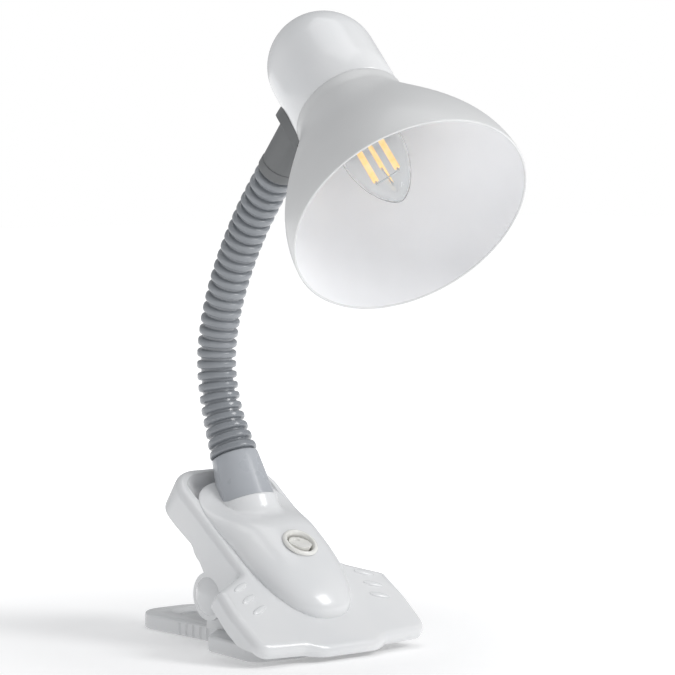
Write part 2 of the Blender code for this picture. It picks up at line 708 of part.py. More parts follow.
def socket_body(name, grow, slot):
    """Flared round socket: a shoulder on the housing's collar, a plug inside it; its top is the origin."""
    foot = SOCKET_TOP_RADIUS + SOCKET_FLARE * SOCKET_SHOULDER + grow
    plug = SOCKET_PLUG_RADIUS + grow
    shoulder = -SOCKET_SHOULDER - grow
    end = -SOCKET_LENGTH - grow
    profile = [(0.0, grow), (SOCKET_TOP_RADIUS - 0.6 * MM + grow, grow)]
    profile += [(SOCKET_TOP_RADIUS + grow, -0.8 * MM), (foot, shoulder), (plug, shoulder), (plug, end)]
    profile += [(0.0, end)]
    return turned(name, profile, slot, None, SOCKET_AXIS, steps=40)


def neck_socket(clearance):
    socket = socket_body("neck_socket", 0.0, "grey plastic")
    bore = cylinder("cut_socket_bore", SOCKET_BORE_RADIUS, 0.12, "Z", (0.0, 0.0, 0.0), segments=32)
    bore.matrix_basis = SOCKET_AXIS
    cut(socket, bore, clearance)
    return socket


def neck_frames():
    """World frames of the neck's links, each at the link's lower end with Z along the link."""
    frames = []
    place = SOCKET_TOP.copy()
    for lean in LINK_LEANS:
        turn = Matrix.Rotation(-math.radians(lean), 4, "X")
        frames.append(Matrix.Translation(place) @ turn)
        place = place + turn.to_3x3() @ Vector((0.0, 0.0, LINK_LENGTH))
    last = Matrix.Rotation(-math.radians(LINK_LEANS[-1] - 3), 4, "X")
    frames.append(Matrix.Translation(place) @ last)
    return frames


def ridge_radius(distance):
    """Outer radius of the sleeve's ridges at a distance above the socket; the lowest ones are wider."""
    return NECK_RADIUS + NECK_FLARE * math.exp(-distance / NECK_FLARE_REACH)


def link_profile(index):
    """Ribbed sleeve section from its top rib down, then up its bore; the ends are coned to let it bend."""
    pitch = LINK_LENGTH / RIBS_PER_LINK
    lip = CORE_RADIUS + GAP + 0.8 * MM
    start = index * LINK_LENGTH
    end_root = ridge_radius(start + LINK_LENGTH) - RIDGE_HEIGHT
    start_root = ridge_radius(start) - RIDGE_HEIGHT
    outer = [(lip, LINK_LENGTH - END_CONE * lip), (end_root, LINK_LENGTH - END_CONE * end_root)]
    for i in reversed(range(RIBS_PER_LINK)):
        middle = (i + 0.5) * pitch
        radius = ridge_radius(start + middle)
        outer.append((radius, middle + RIB_HALF_FLAT))
        outer.append((radius, middle - RIB_HALF_FLAT))
        if i:
            outer.append((ridge_radius(start + middle - pitch / 2) - RIDGE_HEIGHT, middle - pitch / 2))
    outer += [(start_root, END_CONE * start_root), (lip, END_CONE * lip)]
    bore = CORE_RADIUS + GAP
    inner_end = END_CONE * lip + 0.2 * MM
    return outer + [(bore, inner_end), (bore, LINK_LENGTH - inner_end)]


def core_profile():
    """Steel flexible-tube section of one link, with a bore for the wires."""
    end = END_CONE * (CORE_RADIUS - 1.0 * MM)
    shoulder = end + 0.9 * MM
    outer = [(CORE_RADIUS - 1.0 * MM, LINK_LENGTH - end), (CORE_RADIUS, LINK_LENGTH - shoulder)]
    outer += [(CORE_RADIUS, shoulder), (CORE_RADIUS - 1.0 * MM, end)]
    return outer + [(CORE_BORE, end), (CORE_BORE, LINK_LENGTH - end)]


def neck(frames):
    for i, frame in enumerate(frames[:-1]):
        turned(f"neck_sleeve_{i + 1}", link_profile(i), "grey plastic", None, frame, steps=16, closed=True)
        turned(f"neck_core_{i + 1}", core_profile(), "steel", None, frame, steps=12, closed=True)


# Head: the head frame has its origin at the joint between cup and shade, and looks along -Z

def head_frame():
    turn = Matrix.Rotation(HEAD_YAW, 4, "Z") @ Matrix.Rotation(HEAD_TILT - math.pi / 2, 4, "X")
    return add_frame("frame_head", Matrix.Translation(HEAD_BASE) @ turn)


def head_cup(head):
    straight = CUP_LENGTH - CUP_RADIUS
    outer = arc((0.0, straight), CUP_RADIUS, 90, 0, 6) + [(CUP_RADIUS, 0.0)]
    inside = CUP_RADIUS - CUP_WALL
    inner = [(inside, 0.0)] + arc((0.0, straight), inside, 0, 90, 6)
    cup = turned("head_cup", outer + inner, "white plastic", head, steps=36)
    return cup


def shade_radius(depth):
    """Radius of the shade's outer face at a depth below the cup."""
    share = max(0.0, (depth - COLLAR_LENGTH) / (SHADE_LENGTH - COLLAR_LENGTH))
    return COLLAR_RADIUS + (SHADE_RADIUS - COLLAR_RADIUS) * math.sin(share * math.pi / 2) ** SHADE_POWER


def shade(head):
    depths = [COLLAR_LENGTH + (SHADE_LENGTH - COLLAR_LENGTH) * (i / 8) for i in range(9)]
    outer = [(14.4 * MM, -GAP), (COLLAR_RADIUS - 0.6 * MM, -GAP), (COLLAR_RADIUS, -0.9 * MM)]
    outer += [(shade_radius(depth), -depth) for depth in depths]
    inner = [(shade_radius(depth) - SHADE_WALL, -depth) for depth in reversed(depths)]
    inner += [(COLLAR_RADIUS - SHADE_WALL, -2.3 * MM), (14.4 * MM, -2.3 * MM)]
    return turned("shade", outer + inner, "white shade", head, steps=40, closed=True)


def lampholder(head):
    """E14 holder: moulded body, ring that clamps the shade, threaded shell and centre contact."""
    profile = [(4.0, 34.0), (11.5, 34.0), (13.0, 31.0), (13.0, 2.5), (20.0, 2.5), (20.0, 0.3), (13.8, 0.3)]
    profile += [(13.8, -10.0), (12.2, -10.0), (12.2, 0.0), (8.6, 3.0), (8.6, 30.0), (1.5, 30.0), (1.5, 34.0)]
    turned("lampholder_body", scaled(profile), "white plastic", head, closed=True)
    ring = [(14.1, -2.6), (20.5, -2.6), (21.0, -3.2), (21.0, -8.2), (20.4, -9.0), (14.1, -9.0)]
    turned("lampholder_ring", scaled(ring), "white plastic", head, closed=True)
    shell = [(8.3, 24.0), (8.3, 4.5), (7.5, 4.5), (7.5, 24.0)]
    turned("lampholder_shell", scaled(shell), "brass", head, steps=20, closed=True)
    contact = [(1.0, 29.6), (4.5, 29.6), (4.5, 28.8), (3.0, 28.4), (1.0, 28.4)]
    turned("lampholder_contact", scaled(contact), "brass", head, steps=16, closed=True)


def scaled(profile):
    return [(radius * MM, height * MM) for radius, height in profile]


def bulb_radius(depth):
    """Outer radius of the candle glass at a depth below the cup's edge."""
    widest = 31.0 * MM
    if depth > widest:
        share = (depth - widest) / (BULB_TIP - widest)
        return BULB_RADIUS * (1.0 - share ** 1.75) ** 0.82
    share = (depth + 2.5 * MM) / (widest + 2.5 * MM)
    return 7.4 * MM + (BULB_RADIUS - 7.4 * MM) * (0.5 - 0.5 * math.cos(share * math.pi)) ** 0.85


def bulb(head):
    """Candle bulb: glass, screw cap, insulator, end contact, stem, filaments and their supports."""
    count = 11
    depths = [-2.5 * MM + (BULB_TIP + 2.5 * MM) * i / count for i in range(count + 1)]
    outer = [(bulb_radius(depth), -depth) for depth in depths]
    wall = 0.8 * MM
    inner = [(max(bulb_radius(depth) - wall, 0.0), -depth) for depth in reversed(depths[:-1])]
    tip = [(0.0, -BULB_TIP + 1.2 * MM)]
    turned("bulb_glass", outer + tip + inner, "glass", head, steps=20, closed=True)
    cap = [(6.2, 22.5), (6.8, 21.5), (6.8, 4.6), (7.2, 3.9), (7.2, 2.9), (6.6, 2.9), (6.2, 4.6), (6.2, 21.0)]
    turned("bulb_cap", scaled(cap), "nickel", head, steps=20, closed=True)
    insulator = [(2.3, 25.2), (6.0, 22.8), (5.9, 21.2), (2.3, 21.2)]
    turned("bulb_insulator", scaled(insulator), "black plastic", head, steps=18, closed=True)
    contact = [(0.0, 27.8), (1.6, 27.6), (2.4, 26.6), (2.4, 25.6), (1.9, 25.4), (1.9, 22.5), (0.0, 22.5)]
    turned("bulb_contact", scaled(contact), "nickel", head, steps=16)
    stem = [(0.0, 14.0), (4.2, 13.0), (4.6, 0.0), (3.4, -8.0), (2.2, -16.0), (1.6, -24.0), (0.0, -24.8)]
    turned("filament_stem", scaled(stem), "glass", head, steps=16)
    filaments(head)


def filaments(head):
    """LED filament bars round the stem, and the wire cross that ties their lower ends."""
    for i in range(FILAMENT_COUNT):
        angle = math.radians(45 + 360 * i / FILAMENT_COUNT)
        out = Vector((math.cos(angle), math.sin(angle), 0.0)) * FILAMENT_SPREAD
        middle = out + Vector((0.0, 0.0, (FILAMENT_TOP + FILAMENT_BOTTOM) / 2))
        cylinder(f"filament_{i + 1}", 0.9 * MM, FILAMENT_TOP - FILAMENT_BOTTOM, "Z", middle, "filament", head,
                 segments=12)
    arms = []
    for name, slot, degrees in (("filament_cross", "steel", 45), ("join_filament_arm", None, 135)):
        turn = add_frame("frame_" + name, Matrix.Rotation(math.radians(degrees), 4, "Z"), head)
        arms.append(cylinder(name, 0.4 * MM, 2 * FILAMENT_SPREAD + 1.6 * MM, "X",
                             (0.0, 0.0, FILAMENT_BOTTOM - 0.75 * MM), slot, turn, segments=10))
    join(arms[0], arms[1])


def head_bracket(head, neck_end):
    """Saddle that joins the neck's end to the cup's side."""
    cup_point = head.matrix_basis @ Vector((0.0, 0.0, BRACKET_UP_CUP))
    start = neck_end.to_translation()
    reach = cup_point - start
    lean = math.atan2(reach.y, reach.z)
    axis = Matrix.Translation(start) @ Matrix.Rotation(-lean, 4, "X")
    frame = add_frame("frame_bracket", axis)
    length = reach.length
    clear = 1.9 * MM
    bracket = cylinder("head_bracket", BRACKET_FOOT_RADIUS, length - clear, "Z",
                       (0.0, 0.0, (length + clear) / 2), "dark grey plastic", frame, segments=28,
                       tip_radius=BRACKET_TOP_RADIUS)
    saddle = cylinder("join_saddle", CUP_RADIUS + 3.2 * MM, SADDLE_LENGTH, "Z", (0.0, 0.0, SADDLE_UP_CUP),
                      parent=head, segments=36)
    window = ellipsoid("keep_saddle_window", (0.0275, 0.0240, 0.045),
                       (0.0, SADDLE_UP_CUP - BRACKET_UP_CUP, length - CUP_RADIUS), parent=frame)
    keep(saddle, window)
    join(bracket, saddle)
    cup_space = cylinder("cut_cup_space", CUP_RADIUS + GAP, 0.20, "Z", (0.0, 0.0, 0.0), parent=head,
                         segments=36)
    core_space = cylinder("cut_core_space", CORE_RADIUS + 1.6 * MM, 0.016, "Z", (0.0, 0.0, 0.0), parent=frame)
    wire_way = cylinder("cut_wire_way", 3.0 * MM, 0.20, "Z", (0.0, 0.0, 0.05), parent=frame, segments=24)
    space = [(CUP_RADIUS - 2 * MM, 1.0 * MM), (0.0335, 0.6 * MM), (0.0345, -5 * MM), (0.070, -0.060)]
    space += [(CUP_RADIUS - 2 * MM, -0.060)]
    shade_space = turned("cut_shade_space", space, None, head, closed=True, steps=48)
    cut(bracket, cup_space, core_space, wire_way, shade_space)
    return bracket, frame, length


def bracket_screws(bracket, cup, frame, length):
    """Two screws from inside the cup into the saddle."""
    wall = length - CUP_RADIUS
    flip = Matrix.Rotation(math.pi, 4, "X")
    under_head = Matrix.Translation((0.0, 0.0, wall + CUP_WALL + GAP))
    inward = add_frame("frame_bracket_screws", under_head @ flip, frame)
    for i, v in enumerate(BRACKET_SCREWS):
        screw(f"bracket_screw_{i + 1}", 2.7 * MM, 8.0 * MM, (0.0, v, 0.0), inward)
        seat = cylinder(f"cut_bracket_seat_{i + 1}", 3.2 * MM, 8.0 * MM, "Z", (0.0, v, GAP - 4.0 * MM),
                        parent=inward)
        cut(cup, seat)
        hole = cylinder(f"cut_bracket_hole_{i + 1}", 1.6 * MM, 19.0 * MM, "Z", (0.0, v, 0.0), parent=inward,
                        segments=20)
        cut(bracket, hole)
        cut(cup, hole)
    wire_hole = cylinder("cut_cup_wire_hole", 3.0 * MM, 0.012, "Z", (0.0, 0.0, wall), parent=frame,
                         segments=24)
    cut(cup, wire_hole)


def terminal_block():
    """Two-way screw block between the cord's wires, the switch and the neck's wires."""
    block = box("terminal_block", (0.0080, -0.0045, 0.0329), (0.0200, 0.0090, 0.0395), "black plastic", LEVER)
    for v in (-0.0010, 0.0055):
        way = cylinder(f"cut_terminal_way_{v:.4f}", 1.6 * MM, 0.02, "X", (0.014, v, 0.0360), parent=LEVER,
                       segments=16)
        top = cylinder(f"cut_terminal_top_{v:.4f}", 1.5 * MM, 0.008, "Z", (0.014, v, 0.0405), parent=LEVER,
                       segments=16)
        cut(block, way, top)
    return block


def build():
    clearance = lever_clearance()
    lower_lever()
    hinge_pin()
    torsion_spring()
    lower_jaw_pad()
    upper_lever()
    upper_jaw_pad()
    spring_upper_leg()
    housing_cover(clearance)
    housing_screws()
    switch_parts()
    terminal_block()
    cord_gland()
    neck_socket(clearance)
    frames = neck_frames()
    neck(frames)
    head = head_frame()
    bracket, frame, length = head_bracket(head, frames[-1])
    cup = head_cup(head)
    bracket_screws(bracket, cup, frame, length)
    shade(head)
    lampholder(head)
    bulb(head)


build()
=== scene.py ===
"""Looks of the clip-on reading lamp: detailed pieces, materials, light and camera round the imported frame."""

import math

import bmesh
import bpy
from mathutils import Matrix, Vector


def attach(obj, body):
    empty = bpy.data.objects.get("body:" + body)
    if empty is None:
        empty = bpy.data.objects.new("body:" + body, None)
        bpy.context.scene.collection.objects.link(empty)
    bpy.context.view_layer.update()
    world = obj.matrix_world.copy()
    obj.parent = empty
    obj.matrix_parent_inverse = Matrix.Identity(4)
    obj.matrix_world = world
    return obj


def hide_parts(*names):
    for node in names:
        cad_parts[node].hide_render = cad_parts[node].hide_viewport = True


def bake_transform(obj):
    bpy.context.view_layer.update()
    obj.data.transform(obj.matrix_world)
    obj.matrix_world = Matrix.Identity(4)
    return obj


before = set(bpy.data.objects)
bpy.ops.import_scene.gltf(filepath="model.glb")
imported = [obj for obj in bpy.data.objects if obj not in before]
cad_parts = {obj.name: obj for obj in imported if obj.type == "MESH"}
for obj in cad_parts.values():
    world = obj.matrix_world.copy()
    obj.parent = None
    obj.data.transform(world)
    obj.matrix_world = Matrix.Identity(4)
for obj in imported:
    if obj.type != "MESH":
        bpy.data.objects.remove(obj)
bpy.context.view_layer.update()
MM = 0.001
MERGE_DISTANCE = 0.005 * MM
SIDES = ((-1, "left"), (1, "right"))

# Clip levers; on the upper one v runs along it from the hinge, positive to the rear
HINGE_Z = 27.9 * MM
PIN_BORE_RADIUS = 2.8 * MM
LEVER_TILT = math.radians(35.6)
LEVER_TOP = 32.3 * MM
LEVER_HALF_WIDTH = 35.0 * MM
LEVER_WALL = 2.5 * MM
LEVER_EDGE = 5.0 * MM
JAW_HALF_WIDTH = 60.5 * MM
JAW_RIB_PLACES = (-0.033, -0.011, 0.011, 0.033)
JAW_RIB_HALF_WIDTH = 1.5 * MM
FLANGE_RIB_PLACES = ((0.0437, -0.0270), (0.0440, -0.0365), (0.0425, -0.0455))
FLANGE_RIB_TURN = math.radians(25.0)
FLANGE_RIB_RADII = Vector((0.0062, 0.0019, 0.0011))
EAR_RADIUS = 13.5 * MM
GLAND_HOLE_RADIUS = 4.0 * MM
GLAND_HOLE_W = 18.5 * MM
LOWER_THICKNESS = 9.0 * MM
LOWER_HOLLOW_TOP = 6.5 * MM
LOWER_WALL = 3.0 * MM
LOWER_EDGE = 1.6 * MM
LOWER_RIB_HALF_WIDTH = 5.0 * MM
LOWER_HANDLE_HALF = 25.5 * MM
LOWER_JAW_HALF = 50.5 * MM
LUG_X = 26.0 * MM
LUG_THICKNESS = 4.0 * MM
LUG_RADIUS = 9.0 * MM
LUG_FOOT_Z = 8.0 * MM
HANG_HOLE_Y = 62.0 * MM
HANG_HOLE_RADIUS = 6.5 * MM
HANG_HOLE_WALL_RADIUS = 9.0 * MM
GRIP_COUNT = 5
GRIP_FIRST_Y = 12.7 * MM
GRIP_PITCH = 6.5 * MM
GRIP_RADIUS = 1.35 * MM
GRIP_OUTSET = 0.35 * MM
DISH_V = 50.0 * MM
DISH_W = 38.0 * MM
DISH_HALF_WIDTH = 31.5 * MM
DISH_HALF_LENGTH = 17.5 * MM
DISH_DEPTH = 15.0 * MM
DISH_POWER = 3.0

# Switch housing
POD_HALF_WIDTH = 29.8 * MM
POD_REAR_GROWTH = 1.5 * MM
POD_FRONT_LENGTH = 59.0 * MM
POD_REAR_LENGTH = 56.0 * MM
POD_WIDEST_V = 28.0 * MM
POD_HEIGHT = 15.2 * MM
POD_REAR_HEIGHT = 2.7 * MM
POD_FALL_END_V = 42.0 * MM
POD_REAR_EDGE = 12.0 * MM
POD_CENTRE_V = 1.0 * MM
POD_FRONT_POWER = 2.4
POD_SECTION_POWER = 2.1
POD_REAR_WIDTH_POWER = 2.5
POD_REAR_HEIGHT_POWER = 2.2
POD_MESH_STEPS = (220, 260)
POD_BOTTOM_W = 27.5 * MM
SWITCH_V = -13.0 * MM
SWITCH_RADIUS = 10.5 * MM
SWITCH_LAP = 1.2 * MM
SWITCH_SUNK = 0.6 * MM
SWITCH_WELL_RADIUS_MM = 7.55
ROCKER_RADIUS = 6.35 * MM
ROCKER_SUNK = 2.5 * MM

# Gooseneck; LINK_LEANS are in degrees from upright, positive to the rear
SOCKET_TOP = Vector((0.0, 20.9, 102.2)) * MM
SOCKET_LEAN = math.radians(25.0)
SOCKET_SHOULDER = 27.5 * MM
SOCKET_TOP_RADIUS = 13.3 * MM
SOCKET_MOUTH_RADIUS = 11.9 * MM
SOCKET_FLARE = 0.1
SEAM_HEIGHT = 0.35 * MM
SEAM_HALF_WIDTH = 0.45 * MM
COLLAR_OUTER_RADIUS = 17.0 * MM
COLLAR_EDGE = 2.0 * MM
COLLAR_BLEND = 5.0 * MM
LINK_LENGTH = 19.85 * MM
LINK_LEANS = (27.2, 18.0, 5.1, -10.5, -20, -27, -32, -37, -41)
LINK_COUNT = len(LINK_LEANS)
SPAN_START = 7.0 * MM
SPAN_END = 6.0 * MM
STEPS_PER_SPAN = 72
STEPS_ROUND_SPAN = 48
RIDGE_COUNT = 28
RIDGE_RADIUS = 11.1 * MM
GROOVE_RADIUS = 8.8 * MM
RIDGE_FLARE = 3.0 * MM
GROOVE_FLARE = 2.6 * MM
FLARE_REACH = 17.0 * MM
RIDGE_SHARE = 0.74
RIDGE_POWER = 3.5

# Head
HEAD_TILT = math.radians(40.2)
HEAD_YAW = math.radians(-10.2)
HEAD_BASE = Vector((-4.9, -86.8, 295.4)) * MM
CUP_RADIUS = 30.4 * MM
CUP_LENGTH = 68.4 * MM
CUP_WALL = 1.8 * MM
SHADE_LENGTH = 84.0 * MM
SHADE_RADIUS = 65.5 * MM
SHADE_WALL = 1.4 * MM
SHADE_HOLE_RADIUS = 14.4 * MM
SHADE_STEPS = 44
COLLAR_RADIUS = 31.0 * MM
COLLAR_LENGTH = 6.5 * MM
SHADE_POWER = 1.2
NOTCH_COUNT = 12
NOTCH_RADIUS = 1.1 * MM
BULB_RADIUS = 17.5 * MM
BULB_TIP = 71.0 * MM
BULB_WIDEST = 31.0 * MM
BULB_NECK_RADIUS = 7.4 * MM
BULB_TOP = 2.5 * MM
BULB_WALL = 0.8 * MM
BULB_TIP_WALL = 1.4 * MM
BULB_STEPS = 60
BRACKET_UP_CUP = 31.0 * MM
BRACKET_FOOT_RADIUS = 10.7 * MM
BRACKET_TOP_RADIUS = 10.9 * MM
BRACKET_LOW = 1.0 * MM
SADDLE_THICKNESS = 5.0 * MM
SADDLE_LENGTH = 36.0 * MM
SADDLE_UP_CUP = 15.0 * MM
SADDLE_WINDOW_RADII = (0.0290, 0.0250, 0.045)
FILAMENT_COUNT = 4
FILAMENT_SPREAD = 6.6 * MM
FILAMENT_HALF_WIDTH = 1.6 * MM
FILAMENT_TOP = -22.0 * MM
FILAMENT_BOTTOM = -52.0 * MM
FILAMENT_CLIP_RADIUS = 0.55 * MM
FILAMENT_CLIP_LENGTH = 3.0 * MM
FILAMENT_SHORTER = 1.2 * MM

# Floor: it glows more the farther it is from the lamp, so that it meets the backdrop
FLOOR_HALF_SIZE = 6.0
FLOOR_Z = -0.2 * MM
GLOW_REACH = (0.12, 0.55)
GLOW_STRENGTH = (0.22, 0.75)

# Lights and camera
DOME_STRENGTH = 0.44
LIGHT_TARGET = Vector((0.0, -0.05, 0.17))
KEY_OFFSET = Vector((0.43, -0.74, 0.52)) * 1.6
KEY_SIZE = 0.6
KEY_POWER = 10.5
TOP_OFFSET = Vector((0.2, 0.1, 2.0))
TOP_SIZE = 1.4
TOP_POWER = 8.0
CAMERA_PLACE = Vector((-1.0582, -1.3496, 0.2872))
CAMERA_TARGET = Vector((0.0, -0.07045, 0.1740))
CAMERA_LENS = 164.1
SENSOR_WIDTH = 36.0
VIEW_END = 50.0

# Frames: the upper lever's, the socket's, and SIDE_ON, which stands a plate up in Y and Z facing along X
LEVER = Matrix.Translation((0.0, 0.0, HINGE_Z)) @ Matrix.Rotation(LEVER_TILT, 4, "X")
SOCKET_AXIS = Matrix.Translation(SOCKET_TOP) @ Matrix.Rotation(-SOCKET_LEAN, 4, "X")
SIDE_ON = Matrix(((0, 0, 1, 0), (1, 0, 0, 0), (0, 1, 0, 0), (0, 0, 0, 1)))


# Materials

def node_material(name):
    mat = bpy.data.materials.new(name)
    mat.use_nodes = True
    return mat, mat.node_tree.nodes, mat.node_tree.links, mat.node_tree.nodes["Principled BSDF"]


def add_noise(nodes, links, scale, detail):
    where = nodes.new("ShaderNodeTexCoord")
    noise = nodes.new("ShaderNodeTexNoise")
    noise.inputs["Scale"].default_value = scale
    noise.inputs["Detail"].default_value = detail
    links.new(where.outputs["Object"], noise.inputs["Vector"])
    return noise.outputs["Fac"]


def ramp(nodes, links, source, low, high):
    """Colour from low to high over the middle of the source's range, where noise has most of its values."""
    made = nodes.new("ShaderNodeValToRGB")
    made.color_ramp.elements[0].position = 0.35
    made.color_ramp.elements[1].position = 0.65
    made.color_ramp.elements[0].color = (*low, 1.0)
    made.color_ramp.elements[1].color = (*high, 1.0)
    links.new(source, made.inputs["Fac"])
    return made.outputs["Color"]


def map_range(nodes, links, source, low, high):
    made = nodes.new("ShaderNodeMapRange")
    made.inputs["To Min"].default_value = low
    made.inputs["To Max"].default_value = high
    links.new(source, made.inputs["Value"])
    return made.outputs["Result"]


def add_bump(nodes, links, shader, height, strength, distance):
    bump = nodes.new("ShaderNodeBump")
    bump.inputs["Strength"].default_value = strength
    bump.inputs["Distance"].default_value = distance
    links.new(height, bump.inputs["Height"])
    links.new(bump.outputs["Normal"], shader.inputs["Normal"])


def moulded(name, low, high, rough_low, rough_high, bump=0.08, grain=900.0, coat=0.0):
    """Moulded plastic: slight colour drift, patchy gloss and fine surface grain."""
    mat, nodes, links, shader = node_material(name)
    drift = add_noise(nodes, links, 18.0, 3.0)
    links.new(ramp(nodes, links, drift, low, high), shader.inputs["Base Color"])
    patches = add_noise(nodes, links, 60.0, 4.0)
    links.new(map_range(nodes, links, patches, rough_low, rough_high), shader.inputs["Roughness"])
    fine = add_noise(nodes, links, grain, 2.0)
    add_bump(nodes, links, shader, fine, bump, 0.0002)
    shader.inputs["IOR"].default_value = 1.5
    if coat:
        shader.inputs["Coat Weight"].default_value = coat
        shader.inputs["Coat Roughness"].default_value = 0.12
    return mat


def metal(name, low, high, rough_low, rough_high):
    """Worked metal: colour and gloss drift together, over a fine grain."""
    mat, nodes, links, shader = node_material(name)
    drift = add_noise(nodes, links, 90.0, 4.0)
    links.new(ramp(nodes, links, drift, low, high), shader.inputs["Base Color"])
    links.new(map_range(nodes, links, drift, rough_low, rough_high), shader.inputs["Roughness"])
    add_bump(nodes, links, shader, add_noise(nodes, links, 500.0, 2.0), 0.1, 0.0001)
    shader.inputs["Metallic"].default_value = 1.0
    return mat


def glass_material():
    """Thin clear glass; its low index stands for a wall that bends light little."""
    mat, nodes, links, shader = node_material("clear_glass")
    waves = add_noise(nodes, links, 40.0, 2.0)
    links.new(map_range(nodes, links, waves, 0.0, 0.03), shader.inputs["Roughness"])
    tint = ramp(nodes, links, waves, (0.96, 0.975, 0.98), (0.985, 0.99, 0.99))
    links.new(tint, shader.inputs["Base Color"])
    shader.inputs["Transmission Weight"].default_value = 1.0
    shader.inputs["IOR"].default_value = 1.25
    return mat


def filament_material():
    """Coated filament bars: warm yellow phosphor, with a painted glow, as the bulb is not lit."""
    mat, nodes, links, shader = node_material("filament_phosphor_painted_glow")
    drift = add_noise(nodes, links, 300.0, 3.0)
    colour = ramp(nodes, links, drift, (0.95, 0.62, 0.26), (1.0, 0.74, 0.40))
    links.new(colour, shader.inputs["Base Color"])
    links.new(map_range(nodes, links, drift, 0.45, 0.65), shader.inputs["Roughness"])
    # Painted glow: this emission stands for light on the bars of an unlit bulb
    links.new(colour, shader.inputs["Emission Color"])
    shader.inputs["Emission Strength"].default_value = 0.55
    return mat


WHITE = moulded("white_gloss", (0.79, 0.80, 0.81), (0.83, 0.835, 0.84), 0.20, 0.27, coat=0.3)
SATIN = moulded("white_satin", (0.655, 0.66, 0.66), (0.69, 0.695, 0.695), 0.34, 0.42, coat=0.15)
INSIDE = moulded("white_matt", (0.86, 0.865, 0.88), (0.90, 0.905, 0.92), 0.60, 0.75, bump=0.05)
CREAM = moulded("cream_plastic", (0.83, 0.825, 0.79), (0.87, 0.865, 0.83), 0.20, 0.28, coat=0.3)
GREY = moulded("grey_satin", (0.240, 0.255, 0.275), (0.280, 0.295, 0.315), 0.22, 0.30, coat=0.3)
SOCKET_GREY = moulded("socket_grey", (0.41, 0.43, 0.46), (0.46, 0.48, 0.51), 0.24, 0.32, coat=0.4)
DARK = moulded("dark_grey", (0.155, 0.160, 0.163), (0.180, 0.185, 0.188), 0.45, 0.55)
BLACK = moulded("black_plastic", (0.02, 0.02, 0.022), (0.035, 0.035, 0.036), 0.40, 0.55)
RUBBER = moulded("grey_rubber", (0.14, 0.14, 0.145), (0.18, 0.18, 0.185), 0.70, 0.85, bump=0.3, grain=500.0)
STEEL = metal("zinc_steel", (0.55, 0.56, 0.57), (0.68, 0.68, 0.69), 0.25, 0.40)
BRASS = metal("brass", (0.66, 0.48, 0.20), (0.74, 0.56, 0.27), 0.25, 0.38)
NICKEL = metal("nickel", (0.62, 0.60, 0.57), (0.74, 0.72, 0.69), 0.18, 0.30)
GLASS = glass_material()
FILAMENT = filament_material()


# Shapes

def add_object(name, mesh, mats, matrix=None):
    obj = bpy.data.objects.new(name, mesh)
    bpy.context.scene.collection.objects.link(obj)
    for mat in mats:
        mesh.materials.append(mat)
    if matrix is not None:
        obj.matrix_world = matrix
    return obj


def smooth(mesh, angle=35.0):
    mesh.shade_smooth()
    mesh.set_sharp_from_angle(angle=math.radians(angle))


def from_bmesh(name, bm, mats, matrix=None, angle=35.0):
    mesh = bpy.data.meshes.new(name)
    bm.to_mesh(mesh)
    bm.free()
    smooth(mesh, angle)
    return add_object(name, mesh, mats, matrix)


def axis_matrix(axis, centre):
    """A matrix that lays local Z along a named axis through centre."""
    turn = {"X": Matrix.Rotation(math.pi / 2, 4, "Y"), "Y": Matrix.Rotation(-math.pi / 2, 4, "X")}
    return Matrix.Translation(centre) @ turn.get(axis, Matrix.Identity(4))


def cylinder(name, radius, depth, axis, centre, matrix=None, mats=(), segments=64, edge=0.0):
    bm = bmesh.new()
    bmesh.ops.create_cone(bm, cap_ends=True, segments=segments, radius1=radius, radius2=radius,
                          depth=depth, matrix=axis_matrix(axis, Vector(centre)))
    if edge:
        rims = [e for e in bm.edges if any(len(f.verts) > 4 for f in e.link_faces)]
        bmesh.ops.bevel(bm, geom=rims, offset=edge, segments=4, profile=0.5, affect="EDGES")
    return from_bmesh(name, bm, mats, matrix)


def box(name, low, high, matrix=None, mats=(), edge=0.0):
    low = Vector(low)
    high = Vector(high)
    bm = bmesh.new()
    bmesh.ops.create_cube(bm, size=1.0, matrix=Matrix.LocRotScale((low + high) / 2, None, high - low))
    if edge:
        bmesh.ops.bevel(bm, geom=bm.edges[:], offset=edge, segments=3, profile=0.5, affect="EDGES")
    return from_bmesh(name, bm, mats, matrix)


def signed_power(value, power):
    """The power of a number's size, with the number's own sign."""
    return math.copysign(abs(value) ** power, value)


def boxy_ellipsoid(name, radii, centre, power, matrix=None):
    """An ellipsoid whose level sections are ovals at power 2 and squarer above it."""
    bm = bmesh.new()
    bmesh.ops.create_uvsphere(bm, u_segments=72, v_segments=36, radius=1.0)
    for vert in bm.verts:
        x, y, z = vert.co
        ring = max(math.hypot(x, y), 0.0001)
        vert.co = (centre[0] + radii[0] * ring * signed_power(x / ring, 2 / power),
                   centre[1] + radii[1] * ring * signed_power(y / ring, 2 / power),
                   centre[2] + radii[2] * z)
    return from_bmesh(name, bm, (), matrix)


def arc(centre, radius, start, end, count):
    """Points of an arc between two angles in degrees, in count equal steps."""
    points = []
    for i in range(count + 1):
        angle = math.radians(start + (end - start) * i / count)
        points.append((centre[0] + radius * math.cos(angle), centre[1] + radius * math.sin(angle)))
    return points


def filleted(corners):
    """Turns closed corners (x, y, radius) into an outline whose corners are arcs."""
    count = 12
    outline = []
    total = len(corners)
    for i, (x, y, radius) in enumerate(corners):
        here = Vector((x, y))
        before = (Vector(corners[i - 1][:2]) - here).normalized()
        after = (Vector(corners[(i + 1) % total][:2]) - here).normalized()
        if radius <= 0.0:
            outline.append((x, y))
            continue
        half = before.angle(after) / 2
        reach = radius / math.tan(half)
        centre = here + (before + after).normalized() * (radius / math.sin(half))
        start = here + before * reach - centre
        end = here + after * reach - centre
        turn = start.angle_signed(end)
        for k in range(count + 1):
            spoke = start.copy()
            spoke.rotate(Matrix.Rotation(-turn * k / count, 2))
            outline.append(tuple(centre + spoke))
    return outline


